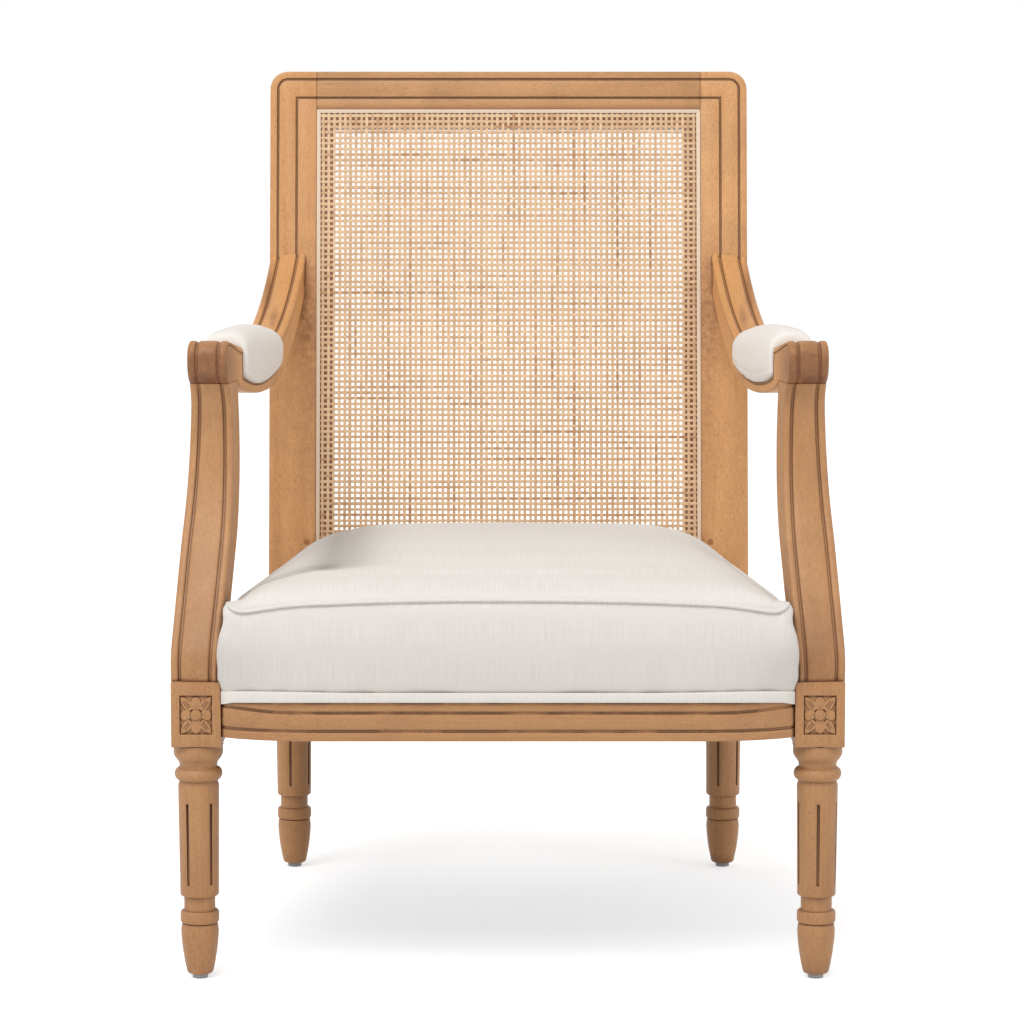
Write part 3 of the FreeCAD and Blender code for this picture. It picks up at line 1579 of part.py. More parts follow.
pieces.append(fitted("front_seat_rail", front_rail, front_rail_tools))
pieces.append(fitted("rear_seat_rail", back_rail_board, rear_rail_tools))
pieces.append(fitted("lower_back_rail", lower_rail, lower_rail_tools))
pieces.append(fitted("top_rail", upper_rail, upper_rail_tools))
pieces += splines
pieces.append(cane_panel())
pieces += seat()
pieces.append(deck_cloth())
pieces.append(fitted("dust_cover", dust_cover(), [cover_staples]))
pieces.append(fitted("webbing_lengthwise", group("long_straps", lengthwise), [webbing_staples]))
pieces.append(fitted("webbing_crosswise", group("cross_straps", crosswise), [webbing_staples]))
pieces += [webbing_staples, cover_staples]
pieces.append(group("seat_rail_dowels", seat_dowels))
pieces.append(group("top_rail_dowels", top_dowels))
pieces.append(group("arm_support_dowels", support_dowels))
pieces.append(group("arm_screws", arm_screws))
pieces.append(group("stile_pegs", pegs))
pieces.append(group("corner_block_screws", block_screws))
pieces.append(group("glide_nails", nails))
document.recompute()

for item in document.Objects:
    if "Invalid" in item.State or "Error" in item.State:
        raise RuntimeError(f"{item.Name} failed: {item.State}")
for piece in pieces:
    if piece.Shape.isNull() or not piece.Shape.isValid():
        raise RuntimeError(f"{piece.Label} has no valid shape")
    if not piece.Shape.Solids:
        raise RuntimeError(f"{piece.Label} has no solid")

os.makedirs("parts", exist_ok=True)
for piece in pieces:
    piece.Shape.exportStep(f"parts/{piece.Label}.step")
print(f"{len(pieces)} sub-parts")
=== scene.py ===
"""Looks of an open armchair with a cane back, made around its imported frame.

Metres, +Z up, floor at Z = 0, front towards -Y, X = 0 on the centre line.
"""
import math
import random

import bmesh
import bpy
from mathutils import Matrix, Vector, noise
from mathutils.bvhtree import BVHTree
from mathutils.kdtree import KDTree


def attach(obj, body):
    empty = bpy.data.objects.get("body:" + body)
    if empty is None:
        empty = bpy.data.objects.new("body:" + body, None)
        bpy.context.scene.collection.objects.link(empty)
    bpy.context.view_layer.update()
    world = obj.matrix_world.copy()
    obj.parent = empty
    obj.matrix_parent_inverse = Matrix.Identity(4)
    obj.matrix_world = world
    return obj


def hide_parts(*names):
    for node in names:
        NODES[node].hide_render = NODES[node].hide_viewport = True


bl_info = {
    "name": "Armchair With Cane Back",
    "version": (1, 0, 0),
    "blender": (4, 5, 0),
    "location": "View3D > Sidebar > Armchair",
    "description": "Dresses the frame of an open armchair: carved wood, woven cane and linen upholstery",
    "category": "Mesh",
}

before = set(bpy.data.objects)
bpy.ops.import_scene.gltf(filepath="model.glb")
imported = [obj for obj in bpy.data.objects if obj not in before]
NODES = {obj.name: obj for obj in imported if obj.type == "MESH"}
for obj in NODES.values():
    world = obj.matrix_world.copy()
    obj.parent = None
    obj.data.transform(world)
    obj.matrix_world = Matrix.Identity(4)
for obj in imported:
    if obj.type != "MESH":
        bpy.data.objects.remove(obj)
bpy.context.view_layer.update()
SIDES = (("left", -1), ("right", 1))

# plan and heights of the frame, in metres
BACK_FACE = 0.2255
KINK_HEIGHT = 0.285
RAKE = math.radians(9.15)
FRONT_AXIS = -0.309
FRONT_LEG_X = 0.318
BLOCK_HALF = 0.0255
BLOCK_MIDDLE = 0.27765
LEDGE_PLACE = {"left": -0.2223, "right": 0.2223, "bottom": 0.1009, "top": 0.6137}

# arms and supports, with the groove and the bead along their edges
ARM_TURN = math.radians(5.403)
ARM_TOP = 0.6414
ARM_WIDTH = 0.0415
GROOVE = 0.0029
GROOVE_DEPTH = 0.0025

# carved rosette: places and reaches of two petals, and the way that a leaf runs
ROSETTE_HALF = (0.0165, 0.0200)
RECESS_DEPTH = 0.0024
PETALS = (((0.0, 0.0131), (0.0052, 0.0062)), ((0.0121, 0.0), (0.0042, 0.0056)))
LEAF_WAY = (0.640, 0.768)
LEAF_START = 0.0062
LEAF_LENGTH = 0.0185
BUTTON_RADIUS = 0.0066

# front rail and its profile as (depth behind the face, height)
RAIL_TOP = 0.2955
RAIL_BOTTOM = 0.255
RAIL_HALF = 0.2925
RAIL_STRAIGHT = 0.198
RAIL_END_FACE = -0.331
RAIL_BOW = 0.028
RAIL_THICK = 0.026
RAIL_PROFILE = (
    (0.0030, 0.2550), (0.0010, 0.2551), (0.0003, 0.2555), (0.0, 0.2562),
    (0.0, 0.2628), (0.0003, 0.2636), (0.0010, 0.2641), (0.0020, 0.2643), (0.0022, 0.2648),
    (0.0022, 0.2660), (0.0020, 0.2666), (0.0010, 0.2668), (0.0003, 0.2673), (0.0, 0.2681),
    (0.0, 0.2830), (0.0003, 0.2838), (0.0010, 0.2843), (0.0020, 0.2845), (0.0022, 0.2850),
    (0.0022, 0.2862), (0.0020, 0.2867), (0.0010, 0.2869), (0.0003, 0.2874), (0.0, 0.2882),
    (0.0, 0.2944), (0.0003, 0.2950), (0.0010, 0.2954), (0.0030, 0.2955),
)
UPPER_GROOVE = (0.2829, 0.2883)

# band over the rail; its profile is (depth behind its face, share of its height)
BAND_HALF = 0.2922
BAND_LOW = 0.2952
BAND_HIGH = 0.3048
BAND_FALL = 0.158
BAND_PROUD = 0.0033
BAND_PROFILE = (
    (0.0040, 0.0), (0.0006, 0.0), (0.0002, 0.03), (0.0, 0.09), (0.0, 0.91), (0.0002, 0.97), (0.0006, 1.0),
    (0.0040, 1.0),
)

# seat; the tables are (place, height), over X for the edge and shoulders, over Y for the crown and sides
SEAT_COVER = 0.0018
SEAT_EDGE = 0.097
SEAT_EDGE_TOP = 0.3900
SEAT_HALF = 0.2840
SEAT_FRONT = -0.3290
SEAT_BOW = 0.0265
SEAT_REAR_HALF = 0.2320
SEAT_REAR = 0.2310
SEAT_CORNER = 0.012
EDGE_LIFT = (
    (0.0, 0.0105), (0.109, 0.0095), (0.171, 0.0069), (0.225, 0.0048), (0.2433, 0.0015),
    (0.256, -0.0017), (0.272, -0.0048), (0.282, 0.0026), (0.288, 0.0050),
)
SHOULDER_FALL = (
    (0.0, 0.0), (0.12, 0.0015), (0.16, 0.0025), (0.20, 0.0022), (0.225, 0.0045), (0.245, 0.0065),
    (0.29, 0.006),
)
CROWN_FALL = (
    (-0.20, 0.0), (-0.09, -0.002), (-0.01, 0.000), (0.05, 0.0065), (0.114, 0.0140), (0.18, 0.0165),
    (0.25, 0.014),
)
SIDE_FALL = ((-0.322, 0.0), (-0.29, 0.004), (-0.25, 0.012), (0.24, 0.012))

# share of the seat's bow that is straightened, and how far its parts bulge or draw in
STRAIGHTENED = 0.88
FRONT_BULGE = 0.0038
CORNER_PINCH = 0.0040
CORNER_BULGE = 0.0036
CORNER_FOOT = 0.0058

# places of the seat's fold and hollow at the left, and the colour of the shade painted in them
FOLD_LINE = -0.273
HOLLOW_LINE = -0.178
PAINTED_FOLD_SHADE = (0.06, 0.04, 0.02)

# cloth simulation of the soft pieces
PUFF_PRESSURE = 4.0
PUFF_FRAMES = 20

# arm pads: ends are shares of (length, width, height pulled in), the profile of (half width, height)
PAD_START = 0.1703
PAD_LENGTH = 0.2574
PAD_BASE = 0.6107
PAD_SAG = 0.0145
PAD_CROWN = 0.0165
PAD_HALF = 0.0255
PAD_ENDS = (
    (0.0, 0.80, 0.20), (0.004, 0.90, 0.10), (0.014, 0.955, 0.04), (0.04, 0.985, 0.012), (0.10, 1.0, 0.0),
    (0.90, 1.0, 0.0), (0.96, 0.985, 0.02), (0.985, 0.95, 0.06), (0.996, 0.90, 0.14), (1.0, 0.80, 0.26),
)
PAD_CROWNS = (
    (0.0, 0.92), (0.10, 1.10), (0.30, 1.14), (0.50, 1.06), (0.70, 0.85), (0.90, 0.46), (1.0, 0.12),
)
PAD_PROFILE = (
    (0.70, 0.000), (0.90, 0.000), (0.955, 0.025), (0.978, 0.090), (0.982, 0.138), (0.966, 0.152),
    (0.984, 0.168), (0.997, 0.25), (1.0, 0.36), (1.0, 0.48), (0.985, 0.60), (0.945, 0.71), (0.87, 0.81),
    (0.75, 0.89), (0.58, 0.95), (0.38, 0.985), (0.18, 0.998),
)

# finishes: turns that lay the grain along an axis, and (light, dark) tones
AXIS_TURNS = {
    "X": (0.0, math.radians(90), 0.0),
    "Y": (math.radians(90), 0.0, 0.0),
    "Z": (0.0, 0.0, 0.0),
}
REAR_LEG_TONES = ((0.72, 0.385, 0.165), (0.56, 0.265, 0.10))
ARM_TONES = ((0.73, 0.375, 0.145), (0.60, 0.285, 0.10))
PEG_TONES = ((0.46, 0.19, 0.07), (0.30, 0.12, 0.045))
SPLINE_TONES = ((0.78, 0.62, 0.47), (0.62, 0.45, 0.30))
WHITE = (1.0, 1.0, 1.0)
GROUPS = {}


# helpers for pieces

def placed(name, data):
    """A new object with its data, linked to the scene."""
    thing = bpy.data.objects.new(name, data)
    bpy.context.scene.collection.objects.link(thing)
    return thing


def add_piece(name, mesh, finish, slot, *replaced):
    """Link a finished mesh as a piece of the chair."""
    piece = placed(name, mesh)
    mesh.materials.clear()
    mesh.materials.append(finish)
    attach(piece, "root")
    if replaced:
        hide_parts(*replaced)
    return piece


def to_mesh(bm, name, crisp=35):
    """Smooth mesh whose edges stay crisp past an angle in degrees."""
    for face in bm.faces:
        face.smooth = True
    for edge in bm.edges:
        edge.smooth = not edge.is_manifold or edge.calc_face_angle(0.0) < math.radians(crisp)
    mesh = bpy.data.meshes.new(name)
    bm.to_mesh(mesh)
    bm.free()
    return mesh


def merged_copy(node):
    """A node's mesh with its loose triangles joined and its flats made whole."""
    bm = bmesh.new()
    bm.from_mesh(NODES[node].data)
    bmesh.ops.remove_doubles(bm, verts=bm.verts, dist=1e-5)
    bmesh.ops.dissolve_limit(bm, angle_limit=math.radians(0.6), verts=bm.verts, edges=bm.edges)
    return bm


def soften(bm, width, angle=math.radians(28), segments=2):
    """Small rounds on the crisp edges."""
    crisp = [edge for edge in bm.edges if edge.is_manifold and edge.calc_face_angle(0.0) > angle]
    bmesh.ops.bevel(
        bm, geom=crisp, offset=width, offset_type="OFFSET", segments=segments,
        profile=0.5, affect="EDGES", clamp_overlap=False, material=-1,
    )
    return bm


def closed(bm):
    """Open ends filled, and all faces turned outwards."""
    rim = [edge for edge in bm.edges if edge.is_boundary]
    bmesh.ops.holes_fill(bm, edges=rim, sides=0)
    bmesh.ops.recalc_face_normals(bm, faces=bm.faces)
    return bm


def paint(node, finish):
    """A better finish on a node that keeps its own shape."""
    slots = NODES[node].material_slots
    if slots:
        for slot in slots:
            slot.material = finish
    else:
        NODES[node].data.materials.append(finish)


def evaluated_mesh(thing):
    """What an object's modifiers make of it, as a mesh of its own."""
    graph = bpy.context.evaluated_depsgraph_get()
    graph.update()
    return bpy.data.meshes.new_from_object(thing.evaluated_get(graph))


def between(table, place):
    """Value of a table of (place, value) rows, run straight between them."""
    for (low, first), (high, second) in zip(table, table[1:]):
        if place <= high:
            share = max(0.0, (place - low) / (high - low))
            return first + (second - first) * share
    return table[-1][1]


def ramp(value, start, end):
    """Straight run from 0 at the start to 1 at the end."""
    return max(0.0, min(1.0, (value - start) / (end - start)))


def faded(value, start, end):
    """Smooth run from 0 at the start to 1 at the end."""
    share = ramp(value, start, end)
    return share * share * (3.0 - 2.0 * share)


def hump(value, middle, reach):
    """Bell-shaped rise that is 1 at its middle."""
    return math.exp(-(((value - middle) / reach) ** 2))


# carved and moulded shapes

def raked(u, v, depth):
    """Point of the back, from its place across, up and behind the raked face."""
    y = BACK_FACE + v * math.sin(RAKE) + depth * math.cos(RAKE)
    z = KINK_HEIGHT + v * math.cos(RAKE) - depth * math.sin(RAKE)
    return Vector((u, y, z))


def side_point(side, reach, across, z):
    """Point of an arm's own upright plane: how far behind the leg, outwards, and up."""
    x = FRONT_LEG_X - reach * math.sin(ARM_TURN) + across * math.cos(ARM_TURN)
    y = FRONT_AXIS + reach * math.cos(ARM_TURN) + across * math.sin(ARM_TURN)
    return Vector((side * x, y, z))


def bowed_line(corners, steps):
    """Points through corners; a third number bows the run that leads to its corner."""
    points = [Vector(corners[0][:2])]
    for before, after, count in zip(corners, corners[1:], steps):
        start = Vector(before[:2])
        end = Vector(after[:2])
        way = end - start
        rise = after[2] if len(after) > 2 else 0.0
        off = Vector((way.y, -way.x)).normalized() * rise
        for step in range(1, count + 1):
            share = step / count
            points.append(start + way * share + off * 4.0 * share * (1.0 - share))
    return points


def moulded_side(half, deep, bead, fill):
    """One half of a limb's section as (across, depth) points: flat, groove, bead and side."""
    edge = half - bead
    flat = edge - GROOVE
    cut = GROOVE_DEPTH * fill
    near = min(1.0, deep / 0.030)
    return [
        (flat * 0.5, 0.0),
        (flat - 0.0020, 0.0001),
        (flat - 0.0009, 0.0005 * fill),
        (flat, 0.0014 * fill),
        (flat + 0.0004, cut),
        (edge - 0.0004, cut),
        (edge, 0.0014 * fill),
        (edge + 0.0009, 0.0005 * fill),
        (edge + 0.0022, 0.0001),
        (half - 0.0034, 0.0),
        (half - 0.0018, 0.0005),
        (half - 0.0006, 0.0016),
        (half, 0.0034 * near),
        (half, 0.0052 * near),
        (half - 0.0005, 0.0058 * near),
        (half - 0.0013, 0.0062 * near),
        (half - 0.0013, 0.0072 * near),
        (half - 0.0006, 0.0080 * near),
        (half - 0.0006, deep - 0.0060 * near),
        (half - 0.0003, deep - 0.0048 * near),
        (half, deep - 0.0042 * near),
        (half, deep - 0.0024 * near),
        (half - 0.0008, deep - 0.0008),
        (half - 0.0024, deep),
        (half * 0.5, deep),
    ]


def swept(rings):
    """Closed skin over a row of rings, from a grid rolled round them."""
    count = len(rings[0])
    steps = len(rings) - 1
    bm = bmesh.new()
    bmesh.ops.create_grid(bm, x_segments=count, y_segments=steps, size=0.5)
    for vertex in bm.verts:
        around = round((vertex.co.x + 0.5) * count) % count
        along = round((vertex.co.y + 0.5) * steps)
        vertex.co = rings[along][around]
    bmesh.ops.remove_doubles(bm, verts=bm.verts, dist=1e-6)
    return closed(bm)


def limb(side, stations, outer_bead, inner_bead):
    """Moulded limb through stations of (front point, rear point, width, groove share)."""
    rings = []
    for front, rear, width, fill in stations:
        deep = (rear - front).length
        into = (rear - front) / deep
        outer = moulded_side(width * 0.5, deep, outer_bead, fill)
        inner = moulded_side(width * 0.5, deep, inner_bead, fill)
        section = [(0.0, 0.0), *outer, (0.0, deep), *((-across, depth) for across, depth in reversed(inner))]
        ring = []
        for across, depth in section:
            spot = front + into * depth
            ring.append(side_point(side, spot.x, across, spot.y))
        rings.append(ring)
    return swept(rings)


def support_stations():
    """Support from its foot on the block up to the arm."""
    steps = (1, 5, 8, 12, 6)
    front = bowed_line(
        ((-0.0205, 0.3113), (-0.0205, 0.3213), (-0.011, 0.3513, -0.0022), (0.056, 0.4563),
         (0.092, 0.5793, 0.0092), (0.080, 0.6086, 0.003)), steps,
    )
    rear = bowed_line(
        ((0.025, 0.3113), (0.025, 0.3213), (0.036, 0.3513, -0.0022), (0.103, 0.4563),
         (0.136, 0.5793, 0.0092), (0.136, 0.6086)), steps,
    )
    widths = ((0.3113, 0.049), (0.34, 0.050), (0.45, 0.051), (0.6086, 0.0420))
    return [(start, end, between(widths, start.y), 1.0) for start, end in zip(front, rear)]


def arm_stations():
    """Arm from its joint over the nose, under the pad and up into the stile."""
    nose = bowed_line(
        ((0.080, 0.6090), (0.066, 0.6338, -0.0045), (0.082, 0.6534, -0.0055), (0.170, 0.6414)), (7, 8, 5),
    )
    heel = bowed_line(((0.136, 0.6090), (0.152, 0.6008)), (20,))
    seat = bowed_line(((0.170, 0.6108), (0.428, 0.6108, 0.0145)), (18,))
    rise = bowed_line(((0.428, 0.6384), (0.600, 0.7164, 0.010), (0.650, 0.7664)), (18, 3))
    under = bowed_line(
        ((0.152, 0.6008), (0.400, 0.5888, 0.0095), (0.600, 0.676, 0.012), (0.680, 0.756)), (18, 18, 4),
    )
    heights = [tuple(point) for point in under]
    shifts = ((0.170, 0.1685), (0.428, 0.4385), (0.600, 0.620), (0.650, 0.672))
    stations = [(start, end, ARM_WIDTH, 1.0) for start, end in zip(nose, heel)]
    for line, fill in ((seat, 0.0), (rise, 1.0)):
        for start in line:
            reach = between(shifts, start.x)
            stations.append((start, Vector((reach, between(heights, reach))), ARM_WIDTH, fill))
    return stations


def cut_at_back(bm):
    """Take off what reaches behind the raked front face of the stiles."""
    way = Vector((0.0, math.cos(RAKE), -math.sin(RAKE)))
    geometry = [*bm.verts, *bm.edges, *bm.faces]
    spot = raked(0.0, 0.0, 0.0003)
    bmesh.ops.bisect_plane(bm, geom=geometry, dist=1e-6, plane_co=spot, plane_no=way, clear_outer=True)
    return closed(bm)


def rail_arc(x):
    """Plain bow of the front rail in plan."""
    return RAIL_END_FACE - RAIL_BOW * (1.0 - (x / RAIL_HALF) ** 2)


def rail_face(x):
    """Plan of the front rail's face: straight in the middle, turned back to the blocks."""
    share = ramp(abs(x), RAIL_STRAIGHT, RAIL_HALF)
    return RAIL_END_FACE - RAIL_BOW * (1.0 - share * share) ** 0.75


def places_across(half, steps=72):
    """Places from left to right, closer together towards both ends."""
    shares = [step / steps - 0.5 for step in range(steps + 1)]
    return [half * (0.7 * share + 0.65 * math.sin(math.pi * share)) for share in shares]


def front_rail():
    """Bowed front rail with three bands, its upper groove rising towards the ends."""
    rings = []
    for x in places_across(RAIL_HALF):
        face = rail_face(x)
        rear = rail_arc(x) + RAIL_THICK
        rise = 0.0035 * faded(abs(x), 0.225, RAIL_HALF) - 0.0015
        ring = []
        for into, z in RAIL_PROFILE:
            if UPPER_GROOVE[0] < z < UPPER_GROOVE[1]:
                z += rise
            ring.append(Vector((x, face + into, z)))
        rings.append([*ring, Vector((x, rear, RAIL_TOP)), Vector((x, rear, RAIL_BOTTOM))])
    return swept(rings)


def front_band():
    """Strip of cloth along the lower front of the seat, lying on the rail's face."""
    rings = []
    for x in places_across(BAND_HALF):
        back = rail_face(x) - RAIL_END_FACE + RAIL_BOW
        low = BAND_LOW - BAND_FALL * back - 0.0014 * faded(abs(x), 0.278, 0.291)
        high = BAND_HIGH - BAND_FALL * back + 0.0018 * faded(abs(x), 0.14, 0.27)
        face = rail_face(x) - BAND_PROUD
        rings.append([Vector((x, face + into, low + (high - low) * rise)) for into, rise in BAND_PROFILE])
    return swept(rings)


def domed(foot, rise, near):
    """Height of a rounded form, near being 0 at its middle and 1 at its edge."""
    return foot + rise * math.sqrt(1.0 - near * near)


def leaf_height(u, v):
    """Height of the carved rosette above the floor of its recess."""
    if min(ROSETTE_HALF[0] - abs(u), ROSETTE_HALF[1] - abs(v)) <= 0.0006:
        return 0.0
    height = 0.00025
    for middle, reach in PETALS:
        near = math.hypot((abs(u) - middle[0]) / reach[0], (abs(v) - middle[1]) / reach[1])
        if near < 1.0:
            height = max(height, domed(0.0010, 0.0011, near))
    along = abs(u) * LEAF_WAY[0] + abs(v) * LEAF_WAY[1]
    across = abs(abs(u) * LEAF_WAY[1] - abs(v) * LEAF_WAY[0])
    span = (along - LEAF_START) / LEAF_LENGTH
    if 0.0 < span < 1.0:
        width = 0.0049 * math.sin(math.pi * span ** 0.8) ** 0.6
        near = across / max(width, 1e-5)
        if near < 1.0:
            leaf = domed(0.0008, 0.0011, near)
            if 0.22 < span < 0.68:
                leaf -= 0.0011 * hump(across, 0.0011, 0.00045)
            height = max(height, leaf)
    middle = math.hypot(u, v + 0.0004)
    if middle < BUTTON_RADIUS:
        height = domed(0.0012, 0.0012, middle / (BUTTON_RADIUS + 0.0001))
    elif middle < BUTTON_RADIUS + 0.0008:
        height = 0.0004
    return height


def rosette(side):
    """Carved flower in the recess of a front block."""
    bm = bmesh.new()
    bmesh.ops.create_grid(bm, x_segments=70, y_segments=84, size=1.0)
    face = FRONT_AXIS - BLOCK_HALF + RECESS_DEPTH
    for vertex in bm.verts:
        u = vertex.co.x * ROSETTE_HALF[0]
        v = vertex.co.y * ROSETTE_HALF[1]
        vertex.co = Vector((side * (FRONT_LEG_X + u), face - leaf_height(u, v), BLOCK_MIDDLE + v))
    bmesh.ops.smooth_vert(bm, verts=bm.verts, factor=0.4, use_axis_y=True)
    rim = [edge for edge in bm.edges if edge.is_boundary]
    made = bmesh.ops.extrude_edge_only(bm, edges=rim)["geom"]
    back = [item for item in made if isinstance(item, bmesh.types.BMVert)]
    bmesh.ops.translate(bm, vec=(0.0, 0.0004, 0.0), verts=back)
    return closed(bm)


# helpers for materials

def feed(tree, socket, value):
    """Link an input to another socket, or set its value; a colour needs no alpha."""
    if isinstance(value, bpy.types.NodeSocket):
        tree.links.new(value, socket)
    elif socket.type == "RGBA":
        socket.default_value = (*value[:3], 1.0)
    else:
        socket.default_value = value


def fill_in(tree, node, values):
    """Feed some inputs of a node, by their names or numbers."""
    for key, value in values.items():
        feed(tree, node.inputs[key], value)
    return node.outputs


def new_node(tree, kind, values=None, **settings):
    """Outputs of a new node with its settings and the values of its inputs."""
    node = tree.nodes.new(kind)
    for key, value in settings.items():
        setattr(node, key, value)
    return fill_in(tree, node, values or {})


def calculate(tree, operation, first, second=0.0, clamp=False):
    """Result of one step of arithmetic."""
    values = {0: first, 1: second}
    return new_node(tree, "ShaderNodeMath", values, operation=operation, use_clamp=clamp)[0]


def times(tree, first, second):
    """Product of two values."""
    return calculate(tree, "MULTIPLY", first, second)


def plus(tree, first, second, clamp=False):
    """Sum of two values."""
    return calculate(tree, "ADD", first, second, clamp)


def blended(tree, factor, first, second, mode="MIX"):
    """Colour between two colours."""
    values = {0: factor, 6: first, 7: second}
    return new_node(tree, "ShaderNodeMix", values, data_type="RGBA", blend_type=mode)[2]


def spread(tree, value, low, high, to_low=0.0, to_high=1.0):
    """The value's range carried over to another, and clamped there."""
    values = {0: value, 1: low, 2: high, 3: to_low, 4: to_high}
    return new_node(tree, "ShaderNodeMapRange", values)[0]


def clouds(tree, vector, scale, detail=3.0, roughness=0.5, distortion=0.0):
    """Noise of one scale, or with a scale for each axis."""
    if isinstance(scale, tuple):
        vector = new_node(tree, "ShaderNodeMapping", {"Vector": vector, "Scale": scale})[0]
        scale = 1.0
    values = {"Vector": vector, "Scale": scale, "Detail": detail}
    values.update({"Roughness": roughness, "Distortion": distortion})
    return new_node(tree, "ShaderNodeTexNoise", values)["Fac"]


def new_group(name, inputs, outputs):
    """An empty node group, from the names and kinds of its sockets."""
    group = bpy.data.node_groups.new(name, "ShaderNodeTree")
    for way, sockets in (("INPUT", inputs), ("OUTPUT", outputs)):
        for label, kind in sockets.items():
            group.interface.new_socket(label, in_out=way, socket_type="NodeSocket" + kind)
    given = group.nodes.new("NodeGroupInput").outputs
    return group, given, group.nodes.new("NodeGroupOutput")


def use_group(tree, group, values):
    """Outputs of a group placed in a material with its own values."""
    return new_node(tree, "ShaderNodeGroup", values, node_tree=group)


def grain_group():
    """Fine wood grain along Z: tone, lines and short dark pores."""
    inputs = {"Vector": "Vector", "Light": "Color", "Dark": "Color", "Pore": "Color"}
    tree, given, out = new_group("wood_grain", inputs, {"Color": "Color", "Height": "Float"})
    place = given["Vector"]
    broad = clouds(tree, place, (9.0, 9.0, 1.6), 3.0, 0.55, 0.6)
    lines = clouds(tree, place, (240.0, 240.0, 9.0), 3.0, 0.6, 0.5)
    pores = clouds(tree, place, (1000.0, 1000.0, 190.0), 2.0, 0.5)
    speckle = clouds(tree, place, (800.0, 800.0, 560.0), 2.0, 0.6)
    smudge = clouds(tree, place, 11.0, 4.0, 0.6, 0.4)
    tone = plus(tree, spread(tree, broad, 0.3, 0.7, 0.0, 0.6), spread(tree, lines, 0.3, 0.7, 0.0, 0.4))
    colour = blended(tree, tone, given["Light"], given["Dark"])
    pore_mask = spread(tree, pores, 0.56, 0.74, 0.0, 0.5)
    speckle_mask = spread(tree, speckle, 0.52, 0.75, 0.0, 0.38)
    smudge_mask = spread(tree, smudge, 0.50, 0.72, 0.0, 0.30)
    for mask in (pore_mask, speckle_mask, smudge_mask):
        colour = blended(tree, mask, colour, given["Pore"])
    height = calculate(tree, "SUBTRACT", times(tree, lines, 0.5), pore_mask)
    fill_in(tree, out, {"Color": colour, "Height": height})
    return tree


def glaze_and_shade_group():
    """Brown glaze that lies in grooves and against joints, patchy where it was wiped, and painted shade
    where other pieces come near.
    """
    inputs = {"Vector": "Vector", "Color": "Color", "Glaze": "Color", "Amount": "Float", "Worn": "Float"}
    tree, given, out = new_group("groove_glaze_and_shade", inputs, {"Color": "Color"})
    # near and wide occlusion: glaze in grooves and joints, and painted shade next to other pieces such as
    # the cane and the cushion
    near = new_node(tree, "ShaderNodeAmbientOcclusion", {"Distance": 0.0045}, samples=8)["AO"]
    wide = new_node(tree, "ShaderNodeAmbientOcclusion", {"Distance": 0.026}, samples=8)["AO"]
    patches = clouds(tree, given["Vector"], 22.0, 4.0, 0.62)
    bare = times(tree, spread(tree, patches, 0.56, 0.40), given["Worn"])
    held = calculate(tree, "SUBTRACT", 1.0, bare)
    fine = times(tree, spread(tree, near, 0.92, 0.60), held)
    # soft mask: painted shade in broad hollows and next to other pieces, in patches
    soft = times(tree, spread(tree, wide, 0.90, 0.45, 0.0, 0.8), spread(tree, patches, 0.38, 0.66))
    either = calculate(tree, "MAXIMUM", fine, soft)
    mask = calculate(tree, "MULTIPLY", either, given["Amount"], True)
    fill_in(tree, out, {"Color": blended(tree, mask, given["Color"], given["Glaze"])})
    return tree


def cloth_group():
    """Plain weave of slubby yarn over a cloth map in metres."""
    inputs = {"Vector": "Vector", "Light": "Color", "Dark": "Color", "Yarns per metre": "Float"}
    tree, given, out = new_group("plain_weave", inputs, {"Color": "Color", "Height": "Float"})
    place = given["Vector"]
    split = new_node(tree, "ShaderNodeSeparateXYZ", {0: place})
    turn = times(tree, given["Yarns per metre"], math.pi)
    across, along = (calculate(tree, "SINE", times(tree, split[axis], turn)) for axis in (0, 1))
    weave = times(tree, across, along)
    warp = clouds(tree, place, (1300.0, 26.0, 1.0), 3.0, 0.6)
    weft = clouds(tree, place, (26.0, 1300.0, 1.0), 3.0, 0.6)
    slub = plus(tree, times(tree, warp, 0.85), times(tree, weft, 0.15))
    tone = plus(tree, spread(tree, slub, 0.30, 0.70, 0.0, 0.85), times(tree, weave, 0.12))
    colour = blended(tree, tone, given["Light"], given["Dark"])
    fill_in(tree, out, {"Color": colour, "Height": plus(tree, times(tree, weave, 0.5), slub)})
    return tree


def shared(name):
    """The shared effects, each built once."""
    builders = {"grain": grain_group, "glaze": glaze_and_shade_group, "cloth": cloth_group}
    if name not in GROUPS:
        GROUPS[name] = builders[name]()
    return GROUPS[name]


def blank_material(name):
    """A new material with its tree and its shader."""
    material = bpy.data.materials.new(name)
    material.use_nodes = True
    tree = material.node_tree
    return material, tree, tree.nodes["Principled BSDF"]


def bump(tree, height, strength, distance):
    """Normal of a surface with a fine relief."""
    values = {"Height": height, "Strength": strength, "Distance": distance}
    return new_node(tree, "ShaderNodeBump", values)["Normal"]


def object_place(tree):
    """Place on the piece, in its object's coordinates."""
    return new_node(tree, "ShaderNodeTexCoord")["Object"]


def attribute_value(tree, name):
    """Value that the piece's own attribute holds."""
    return new_node(tree, "ShaderNodeAttribute", attribute_name=name)["Fac"]


def stain_and_shade_spots(tree, place, spots):
    """Mask of stain, and of painted shade on the ledges behind the cane, round some points, each (centre,
    reach, amount, how broken up).
    """
    broken = spread(tree, clouds(tree, place, 130.0, 5.0, 0.75, 0.6), 0.36, 0.60)
    total = 0.0
    for centre, reach, amount, wear in spots:
        values = {"Vector": place, "Location": centre, "Scale": reach}
        offset = new_node(tree, "ShaderNodeMapping", values, vector_type="TEXTURE")[0]
        distance = new_node(tree, "ShaderNodeVectorMath", {0: offset}, operation="LENGTH")["Value"]
        held = spread(tree, broken, 0.0, 1.0, 1.0 - wear, 1.0)
        mask = times(tree, spread(tree, distance, 1.0, 0.25, 0.0, amount), held)
        total = plus(tree, mask, total, True)
    return total


